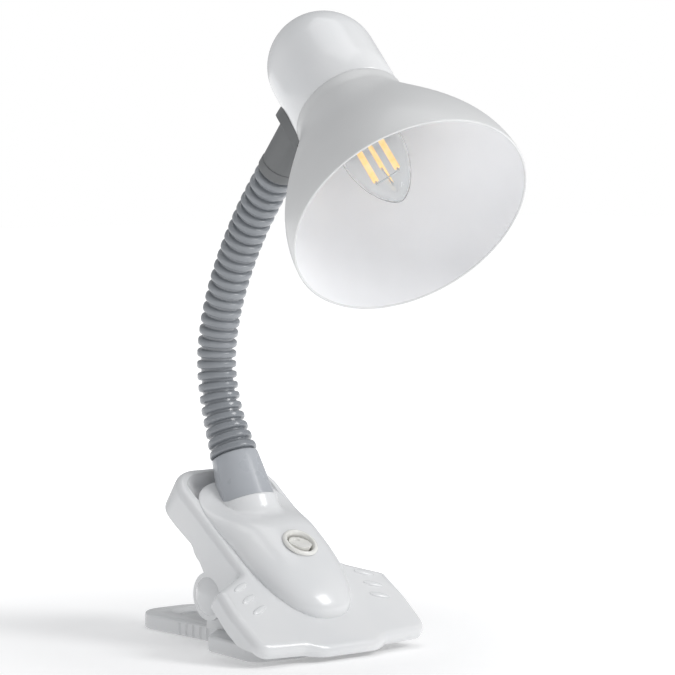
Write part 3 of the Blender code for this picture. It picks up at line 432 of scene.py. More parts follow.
def mirrored(half):
    """The whole outline of corners (x, y, radius) from its right half."""
    return half + [(-x, y, radius) for x, y, radius in reversed(half)]


def plate(name, outline, low, high, mats=(), matrix=None, rounding=0.0, inset=0.0, facets=5):
    """A closed flat outline extruded from low to high along local Z, with rounded rims."""
    curve = bpy.data.curves.new(name, "CURVE")
    curve.dimensions = "2D"
    curve.fill_mode = "BOTH"
    spline = curve.splines.new("POLY")
    spline.points.add(len(outline) - 1)
    for point, (x, y) in zip(spline.points, outline):
        point.co = (x, y, 0.0, 1.0)
    spline.use_cyclic_u = True
    curve.extrude = (high - low) / 2 - rounding
    curve.bevel_depth = rounding
    curve.bevel_resolution = facets
    curve.offset = -rounding - inset
    holder = bpy.data.objects.new(name + "_curve", curve)
    bpy.context.scene.collection.objects.link(holder)
    bpy.context.view_layer.update()
    graph = bpy.context.evaluated_depsgraph_get()
    mesh = bpy.data.meshes.new_from_object(holder.evaluated_get(graph))
    bpy.data.objects.remove(holder, do_unlink=True)
    bm = bmesh.new()
    bm.from_mesh(mesh)
    bpy.data.meshes.remove(mesh)
    bmesh.ops.remove_doubles(bm, verts=bm.verts, dist=MERGE_DISTANCE)
    bmesh.ops.recalc_face_normals(bm, faces=bm.faces)
    lift = Matrix.Translation((0.0, 0.0, (high + low) / 2))
    return from_bmesh(name, bm, mats, lift if matrix is None else matrix @ lift)


def scaled(profile):
    """A profile in millimetres as one in metres."""
    return [(radius * MM, height * MM) for radius, height in profile]


def turned(name, profile, mats, matrix=None, steps=96, closed=False, inner_from=None, angle=35.0):
    """A profile of (radius, height) points, outer side first, turned about local Z.

    Faces from the point inner_from on take the second material.
    """
    bm = bmesh.new()
    rows = []
    for radius, height in profile:
        if radius <= 0.0:
            rows.append([bm.verts.new((0.0, 0.0, height))])
            continue
        row = []
        for k in range(steps):
            turn = 2 * math.pi * k / steps
            row.append(bm.verts.new((radius * math.cos(turn), radius * math.sin(turn), height)))
        rows.append(row)
    pairs = list(zip(range(len(rows)), range(1, len(rows))))
    if closed:
        pairs.append((len(rows) - 1, 0))
    for a, b in pairs:
        for k in range(steps):
            n = (k + 1) % steps
            first = [rows[a][k % len(rows[a])], rows[a][n % len(rows[a])]]
            second = [rows[b][n % len(rows[b])], rows[b][k % len(rows[b])]]
            corners = list(dict.fromkeys(first + second))
            if len(corners) < 3:
                continue
            face = bm.faces.new(corners)
            if inner_from is not None and a >= inner_from:
                face.material_index = 1
    bmesh.ops.recalc_face_normals(bm, faces=bm.faces)
    return from_bmesh(name, bm, mats, matrix, angle)


def apply_modifiers(target):
    """Makes the evaluated shape the object's own mesh."""
    bpy.context.view_layer.update()
    graph = bpy.context.evaluated_depsgraph_get()
    mesh = bpy.data.meshes.new_from_object(target.evaluated_get(graph))
    target.modifiers.clear()
    old = target.data
    target.data = mesh
    bpy.data.meshes.remove(old)
    smooth(mesh)


def combine(target, tools, operation):
    """Applies boolean tools to a mesh object and removes the tools."""
    for tool in tools:
        step = target.modifiers.new(tool.name, "BOOLEAN")
        step.operation = operation
        step.object = tool
        step.solver = "EXACT"
    apply_modifiers(target)
    for tool in tools:
        bpy.data.objects.remove(tool, do_unlink=True)


def cut(target, *tools):
    combine(target, tools, "DIFFERENCE")


def join(target, *tools):
    combine(target, tools, "UNION")


def keep(target, *tools):
    combine(target, tools, "INTERSECT")


def soften(obj, width, segments, angle):
    """Bevels the sharp edges of a finished mesh."""
    step = obj.modifiers.new("edge", "BEVEL")
    step.width = width
    step.segments = segments
    step.limit_method = "ANGLE"
    step.angle_limit = math.radians(angle)
    step.use_clamp_overlap = True
    apply_modifiers(obj)


def finish_piece(obj, body, slot, *nodes):
    """Rides the piece on its body and hides the CAD nodes it stands for."""
    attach(obj, body)
    if nodes:
        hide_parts(*nodes)


# Lower lever

def lower_outline():
    """Lower lever from above: a narrow handle that flares to the jaw."""
    half = [
        (LOWER_HANDLE_HALF, 0.0846, 0.018),
        (LOWER_HANDLE_HALF, 0.004, 0.006),
        (0.0450, -0.0130, 0.004),
        (LOWER_JAW_HALF, -0.0600, 0.009),
        (0.0250, -0.0635, 0.030),
    ]
    return filleted(mirrored(half))


def lower_lever():
    """Flat lever, hollow from below between its ribs, with hinge lugs, a hanging hole and side grips."""
    outline = lower_outline()
    lever = plate("lower_lever_shell", outline, 0.0, LOWER_THICKNESS, (WHITE,), rounding=LOWER_EDGE)
    hollow = plate("hollow", outline, -1.0 * MM, LOWER_HOLLOW_TOP, inset=LOWER_WALL)
    keel = box("keel", (-LOWER_RIB_HALF_WIDTH, -0.08, -0.01), (LOWER_RIB_HALF_WIDTH, 0.10, 0.02))
    cross = box("cross", (-0.06, -LOWER_RIB_HALF_WIDTH, -0.01), (0.06, LOWER_RIB_HALF_WIDTH, 0.02))
    hole_wall = cylinder("hole_wall", HANG_HOLE_WALL_RADIUS, 0.06, "Z", (0.0, HANG_HOLE_Y, 0.005))
    cut(hollow, keel, cross, hole_wall)
    lugs = []
    for side, label in SIDES:
        inner = side * LUG_X - LUG_THICKNESS / 2
        shape = [(0.011, LUG_FOOT_Z), (LUG_RADIUS, HINGE_Z)] + arc((0.0, HINGE_Z), LUG_RADIUS, 10, 170, 24)
        shape += [(-LUG_RADIUS, HINGE_Z), (-0.012, LUG_FOOT_Z)]
        lugs.append(plate(f"lug_{label}", shape, inner, inner + LUG_THICKNESS, matrix=SIDE_ON,
                          rounding=0.5 * MM))
    join(lever, *lugs)
    hole = cylinder("hole", HANG_HOLE_RADIUS, 0.04, "Z", (0.0, HANG_HOLE_Y, 0.005))
    lead_in = boxy_ellipsoid("lead_in", (0.0125, 0.0145, 0.0042), (-0.001, 0.0625, 0.0112), 2.0)
    bore = cylinder("bore", PIN_BORE_RADIUS, 0.08, "X", (0.0, 0.0, HINGE_Z))
    cut(lever, hollow, hole, lead_in, bore)
    grooves = []
    for side, label in SIDES:
        for i in range(GRIP_COUNT):
            place = (side * (LOWER_HANDLE_HALF + GRIP_OUTSET), GRIP_FIRST_Y + i * GRIP_PITCH, 0.0032)
            grooves.append(cylinder(f"groove_{label}_{i}", GRIP_RADIUS, 0.0085, "Z", place, segments=24))
    cut(lever, *grooves)
    finish_piece(lever, "base", "white plastic", "lower_lever")


# Upper lever

def lever_outline():
    """Upper lever from above: straight sides, then the broad flange of the jaw."""
    half = [
        (LEVER_HALF_WIDTH, 0.0710, 0.019),
        (LEVER_HALF_WIDTH, -0.0150, 0.006),
        (0.0592, -0.0270, 0.004),
        (JAW_HALF_WIDTH + 0.0005, -0.0480, 0.020),
        (0.0595, -0.0745, 0.009),
        (0.0285, -0.0762, 0.009),
        (0.0185, -0.0810, 0.016),
    ]
    return filleted(mirrored(half))


def lever_side_view():
    """Side of the upper lever in its own frame, from the handle's end round the ears to the jaw."""
    outline = [(0.080, 0.050), (0.080, 0.0135), (0.060, 0.0120), (0.045, 0.0122), (0.029, 0.0135)]
    outline += [(0.026, 0.0128), (0.024, 0.0115), (0.0205, 0.0106), (0.0172, 0.0105)]
    outline += arc((0.0, 0.0), EAR_RADIUS, 38, -190, 64)
    outline += [(-0.0150, 0.0080), (-0.0165, 0.0120), (-0.0180, 0.0155), (-0.0200, 0.0180), (-0.0222, 0.0196)]
    outline += [(-0.0250, 0.0205), (-0.0580, 0.0205), (-0.0630, 0.0225), (-0.0690, 0.0255), (-0.0740, 0.0250)]
    outline += [(-0.0775, 0.0255), (-0.0820, 0.0275), (-0.0900, 0.0310), (-0.0900, 0.050)]
    return outline


def flange_ribs():
    """Three short grip ribs on each side of the jaw."""
    size = Matrix.LocRotScale(None, None, FLANGE_RIB_RADII)
    for side, label in SIDES:
        turn = Matrix.Rotation(-side * FLANGE_RIB_TURN, 4, "Z")
        for i, (x, v) in enumerate(FLANGE_RIB_PLACES):
            place = LEVER @ Matrix.Translation((side * x, v, LEVER_TOP)) @ turn
            bm = bmesh.new()
            bmesh.ops.create_uvsphere(bm, u_segments=32, v_segments=16, radius=1.0, matrix=size)
            rib = from_bmesh(f"flange_rib_{label}_{i + 1}", bm, (WHITE,), place)
            finish_piece(rib, "upper_lever", "white plastic")


def upper_lever():
    """Wide moulded lever, hollow from below, with a finger dish at its rear end."""
    outline = lever_outline()
    lever = plate("upper_lever_shell", outline, -0.030, LEVER_TOP, (WHITE,), LEVER, rounding=LEVER_EDGE,
                  facets=9)
    keep(lever, plate("side_view", lever_side_view(), -0.08, 0.08, matrix=LEVER @ SIDE_ON))
    pocket = plate("pocket", outline, -0.040, LEVER_TOP - LEVER_WALL, matrix=LEVER,
                   rounding=3.0 * MM, inset=LEVER_WALL)
    dish_radii = (DISH_HALF_WIDTH, DISH_HALF_LENGTH, DISH_DEPTH)
    grown_radii = [radius + LEVER_WALL for radius in dish_radii]
    floor = boxy_ellipsoid("dish_floor", grown_radii, (0.0, DISH_V, DISH_W), DISH_POWER, LEVER)
    ribs = []
    for i, x in enumerate(JAW_RIB_PLACES):
        low = (x - JAW_RIB_HALF_WIDTH, -0.064, 0.0143)
        high = (x + JAW_RIB_HALF_WIDTH, -0.030, 0.070)
        ribs.append(box(f"jaw_rib_{i}", low, high))
    cut(pocket, floor, *ribs)
    dish = boxy_ellipsoid("dish", dish_radii, (0.0, DISH_V, DISH_W), DISH_POWER, LEVER)
    cut(lever, pocket, dish)
    bore = cylinder("bore", PIN_BORE_RADIUS, 0.071, "X", (0.0, 0.0, 0.0), LEVER)
    gland_hole = cylinder("gland_hole", GLAND_HOLE_RADIUS, 0.02, "Y", (0.0, 0.072, GLAND_HOLE_W), LEVER)
    cut(lever, bore, gland_hole)
    finish_piece(lever, "upper_lever", "white plastic", "upper_lever")
    for side, label in SIDES:
        ear_dome(side, label)
    flange_ribs()


def ear_dome(side, label):
    """Domed cap over the hinge pin's end."""
    profile = [(0.0, 4.4), (3.0, 4.15), (6.0, 3.4), (8.6, 2.2), (10.2, 0.9), (10.9, 0.0), (11.0, -1.0)]
    profile += [(0.0, -1.0)]
    matrix = LEVER @ axis_matrix("X", Vector((side * (LEVER_HALF_WIDTH - 0.2 * MM), 0.0, 0.0)))
    if side < 0:
        matrix = matrix @ Matrix.Rotation(math.pi, 4, "X")
    dome = turned(f"ear_dome_{label}", scaled(profile), (WHITE,), matrix, angle=50.0)
    finish_piece(dome, "upper_lever", "white plastic")


# Switch housing

def rounding_off(reach, power):
    """Falls from 1 at reach 0 to 0 at reach 1 along a rounded quarter."""
    return (1.0 - min(1.0, max(0.0, reach)) ** power) ** (1.0 / power)


def pod_half_width(v):
    """Half width of the housing at v: widest behind its middle, with a blunter rear end."""
    if v < POD_CENTRE_V:
        return POD_HALF_WIDTH * rounding_off((POD_CENTRE_V - v) / POD_FRONT_LENGTH, POD_FRONT_POWER)
    grown = min(1.0, (v - POD_CENTRE_V) / (POD_WIDEST_V - POD_CENTRE_V))
    rear_end = POD_CENTRE_V + POD_REAR_LENGTH
    blunt = rounding_off((v - POD_WIDEST_V) / (rear_end - POD_WIDEST_V), POD_REAR_WIDTH_POWER)
    return (POD_HALF_WIDTH + POD_REAR_GROWTH * math.sin(grown * math.pi / 2)) * blunt


def pod_height(v):
    """Height over the lever: an oval nose, then a fall to a low skirt round the neck's socket."""
    if v < POD_CENTRE_V:
        return POD_HEIGHT * rounding_off((POD_CENTRE_V - v) / POD_FRONT_LENGTH, POD_FRONT_POWER)
    share = min(1.0, (v - POD_CENTRE_V) / (POD_FALL_END_V - POD_CENTRE_V))
    height = POD_HEIGHT - (POD_HEIGHT - POD_REAR_HEIGHT) * share ** 2 * (3.0 - 2.0 * share)
    rear_end = POD_CENTRE_V + POD_REAR_LENGTH
    return height * rounding_off((v - rear_end + POD_REAR_EDGE) / POD_REAR_EDGE, POD_REAR_HEIGHT_POWER)


def soft_max(first, second, blend):
    """The larger of two heights, rounded where they are less than blend apart."""
    near = max(blend - abs(first - second), 0.0) / blend
    return max(first, second) + near * near * blend / 4


def collar_height(x, v):
    """Top of the round collar that the neck's socket stands on, in the lever's frame."""
    if abs(x) >= COLLAR_OUTER_RADIUS:
        return -1.0
    in_lever = LEVER.inverted() @ SOCKET_AXIS
    along = in_lever.to_3x3() @ Vector((0.0, 0.0, 1.0))
    end = in_lever @ Vector((0.0, 0.0, -SOCKET_SHOULDER))
    rise = math.sqrt(COLLAR_OUTER_RADIUS ** 2 - x * x)
    side = end.z + (rise + along.z * (v - end.y)) / along.y
    rim = end.z - along.y * (v - end.y) / along.z
    return -soft_max(-side, -rim, COLLAR_EDGE)


def pod_body(name, mats):
    """Egg-shaped housing with oval sections, long along v; a collar for the neck rises from its rear."""
    bm = bmesh.new()
    bmesh.ops.create_uvsphere(bm, u_segments=POD_MESH_STEPS[0], v_segments=POD_MESH_STEPS[1], radius=1.0)
    for vert in bm.verts:
        x, y, z = vert.co
        along = math.copysign(1.0 - (1.0 - abs(z)) ** 1.15, z)
        length = POD_FRONT_LENGTH if along < 0.0 else POD_REAR_LENGTH
        v = POD_CENTRE_V + length * along
        ring = math.hypot(x, y)
        if ring < 0.0001:
            vert.co = (0.0, v, LEVER_TOP)
            continue
        side = pod_half_width(v) * signed_power(x / ring, 2 / POD_SECTION_POWER)
        top = LEVER_TOP + pod_height(v) * signed_power(y / ring, 2 / POD_SECTION_POWER)
        if y > 0.0:
            top = soft_max(top, collar_height(side, v), COLLAR_BLEND)
        vert.co = (side, v, top)
    bmesh.ops.recalc_face_normals(bm, faces=bm.faces)
    return from_bmesh(name, bm, mats, LEVER)


def housing_cover():
    """The housing, cut off a little below the lever's top, with a round opening under the switch."""
    cover = pod_body("housing_shell", (WHITE,))
    opening = cylinder("opening", SWITCH_RADIUS - SWITCH_LAP, 0.03, "Z", (0.0, SWITCH_V, 0.050), LEVER)
    below = box("below", (-0.05, -0.08, -0.02), (0.05, 0.08, POD_BOTTOM_W), LEVER)
    cut(cover, below, opening)
    finish_piece(cover, "upper_lever", "white plastic", "housing_cover")


def switch():
    """Round bezel with a well, and a rocker in it that stands higher at its front."""
    top = LEVER_TOP + pod_height(SWITCH_V) - SWITCH_SUNK
    well = SWITCH_WELL_RADIUS_MM
    profile = [(well, -6.0), (9.0, -6.0), (9.0, 0.2), (10.4, 0.3), (10.5, 0.8), (10.2, 1.5), (9.6, 1.95)]
    profile += [(9.0, 2.1), (8.5, 2.0), (8.1, 1.6), (7.9, 0.9), (7.6, 0.4), (well, 0.0)]
    matrix = LEVER @ Matrix.Translation((0.0, SWITCH_V, top))
    bezel = turned("switch_bezel", scaled(profile), (CREAM,), matrix, closed=True, angle=50.0)
    finish_piece(bezel, "upper_lever", "cream plastic", "switch_body")
    rocker = cylinder("rocker_cap", ROCKER_RADIUS, 0.011, "Z", (0.0, 0.0, 0.0), mats=(CREAM,))
    side = [(0.0072, -0.0030), (0.0072, 0.0017), (0.0056, 0.0020), (0.0036, 0.0024)]
    side += [(0.0018, 0.0028), (0.0, 0.0033), (-0.0018, 0.0040), (-0.0036, 0.0047), (-0.0052, 0.0052)]
    side += [(-0.0060, 0.0054), (-0.0060, -0.0030)]
    place = LEVER @ Matrix.Translation((0.0, SWITCH_V, top - ROCKER_SUNK))
    rocker.matrix_world = place
    keep(rocker, plate("rocker_side", side, -0.0080, 0.0080, matrix=place @ SIDE_ON))
    dimple = boxy_ellipsoid("dimple", (0.0019, 0.0013, 0.0012), (0.0, 0.0032, 0.0027), 2.0, place)
    cut(rocker, dimple)
    soften(rocker, 0.45 * MM, 3, 40.0)
    finish_piece(rocker, "rocker", "cream plastic", "switch_rocker")


# Neck

def socket():
    """Round flared socket with a fine mould seam down its left and right sides."""
    mouth = SOCKET_MOUTH_RADIUS
    top = SOCKET_TOP_RADIUS
    profile = [(0.0, -9.0 * MM), (mouth, -9.0 * MM), (mouth, -0.6 * MM), (mouth + 0.3 * MM, -0.1 * MM)]
    profile += [(top - 0.6 * MM, 0.0), (top - 0.2 * MM, -0.3 * MM), (top, -0.9 * MM)]
    foot = SOCKET_SHOULDER + 6.0 * MM
    profile += [(top + SOCKET_FLARE * foot * k / 8, -foot * k / 8) for k in range(1, 9)]
    profile += [(0.0, -foot)]
    body = turned("neck_socket_shell", profile, (SOCKET_GREY,), SOCKET_AXIS, steps=360, angle=40.0)
    for vert in body.data.vertices:
        x, y, z = vert.co
        ring = math.hypot(x, y)
        if ring > mouth + 0.5 * MM and z < -0.5 * MM:
            away = y / SEAM_HALF_WIDTH
            grown = 1.0 + SEAM_HEIGHT * math.exp(-away * away) / ring
            vert.co = (x * grown, y * grown, z)
    finish_piece(body, "upper_lever", "grey plastic", "neck_socket")


def lean_vector(lean):
    """Direction at lean degrees from upright, to the rear when lean is positive."""
    angle = math.radians(lean)
    return Vector((0.0, math.sin(angle), math.cos(angle)))


def neck_joints():
    """Where each link starts, from the socket's top up, and where the last one ends."""
    places = [SOCKET_TOP.copy()]
    for lean in LINK_LEANS:
        places.append(places[-1] + lean_vector(lean) * LINK_LENGTH)
    return places


def head_matrix():
    """Frame of the head: its origin is in the middle of the cup's rim and its Z runs up the cup."""
    turn = Matrix.Rotation(HEAD_YAW, 4, "Z") @ Matrix.Rotation(HEAD_TILT - math.pi / 2, 4, "X")
    return Matrix.Translation(HEAD_BASE) @ turn


def bracket_axis(end):
    """Frame of the bracket's stem, from the neck's end towards the cup, and the stem's length."""
    cup_point = head_matrix() @ Vector((0.0, 0.0, BRACKET_UP_CUP))
    reach = cup_point - end
    lean = math.atan2(reach.y, reach.z)
    return Matrix.Translation(end) @ Matrix.Rotation(-lean, 4, "X"), reach.length


def neck_spans():
    """Ten smooth curves of points, each from the middle of one link to the middle of the next.

    The first starts down in the socket and the last ends up in the bracket.
    """
    joints = neck_joints()
    middles = [joints[0] - lean_vector(math.degrees(SOCKET_LEAN)) * SPAN_START]
    middles += [(a + b) / 2 for a, b in zip(joints, joints[1:])]
    stem = bracket_axis(joints[-1])[0]
    middles.append(stem @ Vector((0.0, 0.0, SPAN_END)))
    spans = []
    for i, corner in enumerate(joints):
        start = middles[i]
        end = middles[i + 1]
        points = []
        for k in range(STEPS_PER_SPAN + 1):
            t = k / STEPS_PER_SPAN
            points.append(start * (1 - t) ** 2 + corner * (2 * t * (1 - t)) + end * t ** 2)
        spans.append(points)
    return spans


def neck_radius(distance, pitch):
    """Rounded ridges with narrow, deep grooves; both are wider close to the socket."""
    across = abs(2.0 * ((distance / pitch) % 1.0) - 1.0)
    rise = math.sqrt(max(0.0, 1.0 - (across / RIDGE_SHARE) ** RIDGE_POWER))
    near = math.exp(-max(distance, 0.0) / FLARE_REACH)
    groove = GROOVE_RADIUS + GROOVE_FLARE * near
    ridge = RIDGE_RADIUS + RIDGE_FLARE * near
    if distance < 0.0:
        return groove
    return groove + (ridge - groove) * rise


def neck():
    """One ridged sleeve in ten spans; each curves round the joint between the link above it and the one below.
    """
    spans = neck_spans()
    before = (spans[0][0] - SOCKET_TOP).length
    total = 0.0
    for points in spans:
        total += sum((b - a).length for a, b in zip(points, points[1:]))
    pitch = (total - before - SPAN_END) / RIDGE_COUNT
    distance = -before
    for index, points in enumerate(spans):
        rows = []
        for k, point in enumerate(points):
            ahead = points[min(k + 1, len(points) - 1)]
            behind = points[max(k - 1, 0)]
            tangent = (ahead - behind).normalized()
            normal = Vector((1.0, 0.0, 0.0)).cross(tangent)
            rows.append((point, normal, distance))
            if k + 1 < len(points):
                distance += (points[k + 1] - point).length
        bm = bmesh.new()
        rings = []
        for point, normal, along in rows:
            radius = neck_radius(along, pitch)
            ring = []
            for j in range(STEPS_ROUND_SPAN):
                turn = 2 * math.pi * j / STEPS_ROUND_SPAN
                offset = Vector((1.0, 0.0, 0.0)) * math.cos(turn) + normal * math.sin(turn)
                ring.append(bm.verts.new(point + offset * radius))
            rings.append(ring)
        for lower, upper in zip(rings, rings[1:]):
            for j in range(STEPS_ROUND_SPAN):
                n = (j + 1) % STEPS_ROUND_SPAN
                bm.faces.new((lower[j], lower[n], upper[n], upper[j]))
        bmesh.ops.recalc_face_normals(bm, faces=bm.faces)
        piece = from_bmesh(f"neck_sleeve_span_{index + 1}", bm, (GREY,), angle=60.0)
        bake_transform(piece)
        if index < LINK_COUNT:
            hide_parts(f"neck_sleeve_{index + 1}", f"neck_core_{index + 1}")


# Head

def cup(head):
    """Domed cylinder over the lampholder, open at the shade's end."""
    straight = CUP_LENGTH - CUP_RADIUS
    rim = CUP_RADIUS - 0.5 * MM
    outer = [(0.0, CUP_LENGTH)] + arc((0.0, straight), CUP_RADIUS, 88, 0, 28)
    outer += [(CUP_RADIUS, straight / 2), (CUP_RADIUS, 0.8 * MM), (rim, 0.2 * MM), (rim - 0.6 * MM, 0.0)]
    inside = CUP_RADIUS - CUP_WALL
    inner = [(inside, 0.0)] + arc((0.0, straight), inside, 0, 88, 20) + [(0.0, straight + inside)]
    body = turned("cup_shell", outer + inner, (WHITE,), head, steps=128, angle=50.0)
    finish_piece(body, "head", "white plastic", "head_cup")


def shade_radius(depth):
    """Outer radius of the shade at a depth under the cup's rim."""
    share = max(0.0, (depth - COLLAR_LENGTH) / (SHADE_LENGTH - COLLAR_LENGTH))
    return COLLAR_RADIUS + (SHADE_RADIUS - COLLAR_RADIUS) * math.sin(share * math.pi / 2) ** SHADE_POWER


def shade(head):
    """Bell-shaped shade with a collar, a rounded lip and a matt inside."""
    lip_radius = SHADE_WALL / 2
    length = SHADE_LENGTH - lip_radius - COLLAR_LENGTH
    depths = [COLLAR_LENGTH + length * (i / SHADE_STEPS) for i in range(SHADE_STEPS + 1)]
    outer = [(SHADE_HOLE_RADIUS, -0.3 * MM), (COLLAR_RADIUS - 1.0 * MM, -0.3 * MM)]
    outer += [(COLLAR_RADIUS - 0.3 * MM, -0.6 * MM), (COLLAR_RADIUS, -1.2 * MM), (COLLAR_RADIUS, -3.5 * MM)]
    outer += [(shade_radius(depth), -depth) for depth in depths]
    lip = arc((SHADE_RADIUS - lip_radius, lip_radius - SHADE_LENGTH), lip_radius, -22.5, -157.5, 6)
    inner = [(shade_radius(depth) - SHADE_WALL, -depth) for depth in reversed(depths)]
    inner += [(COLLAR_RADIUS - SHADE_WALL, -3.5 * MM), (COLLAR_RADIUS - 2.4 * MM, -2.3 * MM)]
    inner += [(SHADE_HOLE_RADIUS, -2.3 * MM)]
    start = len(outer) + len(lip)
    body = turned("shade_shell", outer + lip + inner, (SATIN, INSIDE), head, steps=160, closed=True,
                  inner_from=start, angle=50.0)
    finish_piece(body, "head", "white shade", "shade")


def lampholder(head):
    """Ring that clamps the shade, with finger notches round it."""
    ring = [(14.1, -2.6), (20.0, -2.6), (20.8, -3.0), (21.0, -3.6), (21.0, -8.0), (20.4, -8.8), (19.6, -9.0)]
    ring += [(14.8, -9.0), (14.1, -8.4)]
    body = turned("clamp_ring", scaled(ring), (INSIDE,), head, steps=96, closed=True)
    notches = []
    for i in range(NOTCH_COUNT):
        turn = head @ Matrix.Rotation(2 * math.pi * i / NOTCH_COUNT, 4, "Z")
        notches.append(cylinder(f"notch_{i}", NOTCH_RADIUS, 0.02, "Z", (0.0213, 0.0, -0.006), turn,
                                segments=16))
    cut(body, *notches)
    finish_piece(body, "head", "white plastic", "lampholder_ring")


def bulb_radius(depth):
    """Outer radius of the glass at a depth under the cup's rim: a narrow neck, then a pear."""
    if depth > BULB_WIDEST:
        share = (depth - BULB_WIDEST) / (BULB_TIP - BULB_WIDEST)
        return BULB_RADIUS * max(0.0, 1.0 - share ** 1.8) ** 0.70
    share = (depth + BULB_TOP) / (BULB_WIDEST + BULB_TOP)
    swell = (0.5 - 0.5 * math.cos(share * math.pi)) ** 0.85
    return BULB_NECK_RADIUS + (BULB_RADIUS - BULB_NECK_RADIUS) * swell


def bulb(head):
    """Hollow glass with upright filament bars inside, each held by a clip at both ends."""
    depths = [-BULB_TOP + (BULB_TIP + BULB_TOP) * i / BULB_STEPS for i in range(BULB_STEPS)]
    outer = [(bulb_radius(depth), -depth) for depth in depths] + [(0.0, -BULB_TIP)]
    inner = [(0.0, -BULB_TIP + BULB_TIP_WALL)]
    inner += [(bulb_radius(depth) - BULB_WALL, -depth) for depth in reversed(depths)
              if bulb_radius(depth) > 2 * BULB_WALL]
    glass = turned("bulb_envelope", outer + inner, (GLASS,), head, steps=96, closed=True, angle=60.0)
    finish_piece(glass, "head", "glass", "bulb_glass")
    half = (FILAMENT_TOP - FILAMENT_BOTTOM) / 2 - FILAMENT_SHORTER
    middle = Matrix.Translation((FILAMENT_SPREAD, 0.0, (FILAMENT_TOP + FILAMENT_BOTTOM) / 2))
    for i in range(FILAMENT_COUNT):
        turn = head @ Matrix.Rotation(math.radians(45 + 360 / FILAMENT_COUNT * i), 4, "Z")
        bar = box(f"filament_bar_{i + 1}", (-FILAMENT_HALF_WIDTH, -FILAMENT_HALF_WIDTH / 2, -half),
                  (FILAMENT_HALF_WIDTH, FILAMENT_HALF_WIDTH / 2, half), turn @ middle, (FILAMENT,),
                  edge=0.35 * MM)
        finish_piece(bar, "head", "filament", f"filament_{i + 1}")
        for end, label in ((FILAMENT_TOP, "upper"), (FILAMENT_BOTTOM, "lower")):
            tip = cylinder(f"filament_clip_{label}_{i + 1}", FILAMENT_CLIP_RADIUS, FILAMENT_CLIP_LENGTH,
                           "Z", (FILAMENT_SPREAD, 0.0, end), turn, (STEEL,), segments=20,
                           edge=0.15 * MM)
            finish_piece(tip, "head", "steel")


def bracket(head):
    """Round stem on the neck's end with a saddle that carries the cup."""
    axis, length = bracket_axis(neck_joints()[-1])
    stem = [(0.0, length), (BRACKET_TOP_RADIUS, length), (BRACKET_TOP_RADIUS, length - 20 * MM)]
    for wider, height in ((0.2, 6.5), (0.1, 6.0), (0.5, 5.6), (0.6, 1.0), (0.2, 0.0)):
        stem.append((BRACKET_FOOT_RADIUS + wider * MM, BRACKET_LOW + height * MM))
    stem.append((0.0, BRACKET_LOW))
    body = turned("bracket_shell", stem, (DARK,), axis)
    saddle = cylinder("saddle", CUP_RADIUS + SADDLE_THICKNESS, SADDLE_LENGTH, "Z",
                      (0.0, 0.0, SADDLE_UP_CUP), head, segments=160, edge=1.0 * MM)
    window = boxy_ellipsoid("window", SADDLE_WINDOW_RADII,
                            (0.0, SADDLE_UP_CUP - BRACKET_UP_CUP, length - CUP_RADIUS), 2.0, axis)
    keep(saddle, window)
    join(body, saddle)
    cup_space = cylinder("cup_space", CUP_RADIUS + 0.2 * MM, 0.20, "Z", (0.0, 0.0, 0.0), head, segments=160)
    space = [(CUP_RADIUS - 2 * MM, 1.0 * MM), (0.0335, 0.6 * MM), (0.0345, -5 * MM), (0.070, -0.060)]
    space += [(CUP_RADIUS - 2 * MM, -0.060)]
    shade_space = turned("shade_space", space, (), head, closed=True)
    cut(body, cup_space, shade_space)
    finish_piece(body, "head", "dark grey plastic", "head_bracket")


# CAD nodes that keep their shape

NODE_MATERIALS = {
    "hinge_pin": STEEL, "torsion_spring": STEEL, "spring_upper_leg": STEEL, "housing_screw_1": STEEL,
    "housing_screw_2": STEEL, "bracket_screw_1": STEEL, "bracket_screw_2": STEEL, "filament_cross": STEEL,
    "lower_jaw_pad": RUBBER, "upper_jaw_pad": RUBBER, "cord_gland": BLACK, "terminal_block": BLACK,
    "bulb_insulator": BLACK, "switch_terminal_1": BRASS, "switch_terminal_2": BRASS,
    "lampholder_shell": BRASS, "lampholder_contact": BRASS, "lampholder_body": INSIDE, "bulb_cap": NICKEL,
    "bulb_contact": NICKEL, "filament_stem": GLASS,
}


def dress_nodes():
    """Gives each CAD node that stays visible its material."""
    for name, mat in NODE_MATERIALS.items():
        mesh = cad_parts[name].data
        mesh.materials.clear()
        mesh.materials.append(mat)


# Stage

def stage():
    """White floor that the lamp stands on."""
    bm = bmesh.new()
    bmesh.ops.create_grid(bm, x_segments=1, y_segments=1, size=FLOOR_HALF_SIZE)
    mat, nodes, links, shader = node_material("floor")
    drift = add_noise(nodes, links, 2.0, 2.0)
    pale = ramp(nodes, links, drift, (0.93, 0.93, 0.93), (0.95, 0.95, 0.95))
    links.new(pale, shader.inputs["Base Color"])
    links.new(pale, shader.inputs["Emission Color"])
    place = nodes.new("ShaderNodeTexCoord")
    reach = nodes.new("ShaderNodeVectorMath")
    reach.operation = "LENGTH"
    links.new(place.outputs["Object"], reach.inputs[0])
    glow = nodes.new("ShaderNodeMapRange")
    glow.inputs["From Min"].default_value = GLOW_REACH[0]
    glow.inputs["From Max"].default_value = GLOW_REACH[1]
    glow.inputs["To Min"].default_value = GLOW_STRENGTH[0]
    glow.inputs["To Max"].default_value = GLOW_STRENGTH[1]
    links.new(reach.outputs["Value"], glow.inputs["Value"])
    links.new(glow.outputs["Result"], shader.inputs["Emission Strength"])
    shader.inputs["Roughness"].default_value = 0.9
    shader.inputs["Specular IOR Level"].default_value = 0.0
    floor = from_bmesh("floor", bm, (mat,))
    floor.location.z = FLOOR_Z


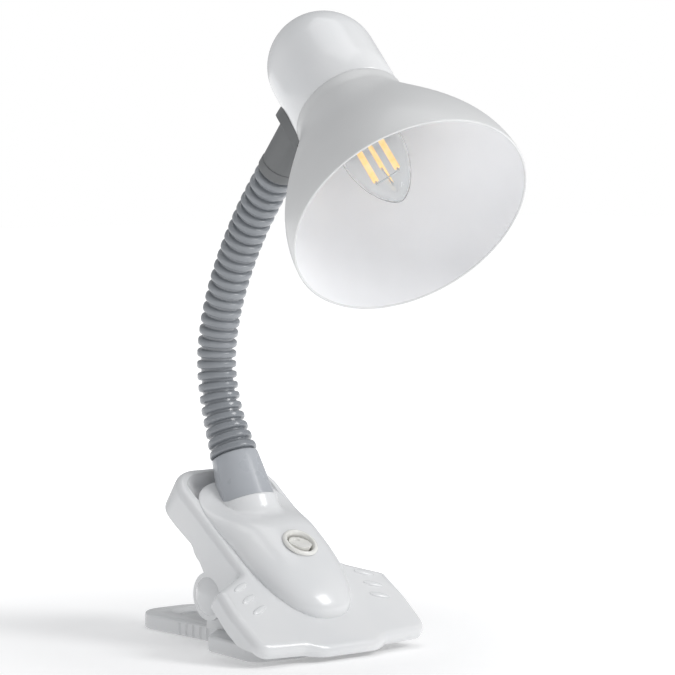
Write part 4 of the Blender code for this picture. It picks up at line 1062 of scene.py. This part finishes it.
def aimed(name, data, place, target):
    """Puts a light or camera at a place and points it at a target."""
    obj = bpy.data.objects.new(name, data)
    bpy.context.scene.collection.objects.link(obj)
    obj.location = place
    obj.rotation_euler = (target - place).to_track_quat("-Z", "Y").to_euler()
    return obj


def area_light(name, offset, size, power):
    """Square soft light at an offset from the lamp's middle, aimed at it."""
    data = bpy.data.lights.new(name, "AREA")
    data.shape = "RECTANGLE"
    data.size = size
    data.size_y = size
    data.energy = power
    aimed(name, data, LIGHT_TARGET + offset, LIGHT_TARGET)


def lights():
    """White backdrop for the camera, and for the lamp a dimmer dome, a front right key and a top light."""
    world = bpy.data.worlds.new("studio")
    bpy.context.scene.world = world
    world.use_nodes = True
    nodes = world.node_tree.nodes
    links = world.node_tree.links
    backdrop = nodes["Background"]
    backdrop.inputs["Color"].default_value = (1.0, 1.0, 1.0, 1.0)
    backdrop.inputs["Strength"].default_value = 1.0
    dome = nodes.new("ShaderNodeBackground")
    dome.inputs["Color"].default_value = (0.97, 0.98, 1.0, 1.0)
    dome.inputs["Strength"].default_value = DOME_STRENGTH
    seen = nodes.new("ShaderNodeLightPath")
    mix = nodes.new("ShaderNodeMixShader")
    links.new(seen.outputs["Is Camera Ray"], mix.inputs["Fac"])
    links.new(dome.outputs["Background"], mix.inputs[1])
    links.new(backdrop.outputs["Background"], mix.inputs[2])
    links.new(mix.outputs["Shader"], nodes["World Output"].inputs["Surface"])
    bpy.context.scene.view_settings.view_transform = "Standard"
    area_light("key", KEY_OFFSET, KEY_SIZE, KEY_POWER)
    area_light("top", TOP_OFFSET, TOP_SIZE, TOP_POWER)


def camera():
    """Long lens from the front left, level with the lamp's head."""
    data = bpy.data.cameras.new("camera")
    data.lens = CAMERA_LENS
    data.sensor_width = SENSOR_WIDTH
    data.clip_end = VIEW_END
    bpy.context.scene.camera = aimed("camera", data, CAMERA_PLACE, CAMERA_TARGET)


def write_sizes():
    bpy.context.view_layer.update()


def build():
    camera()
    lower_lever()
    upper_lever()
    housing_cover()
    switch()
    socket()
    neck()
    head = head_matrix()
    cup(head)
    shade(head)
    lampholder(head)
    bulb(head)
    bracket(head)
    dress_nodes()
    stage()
    lights()
    write_sizes()


build()
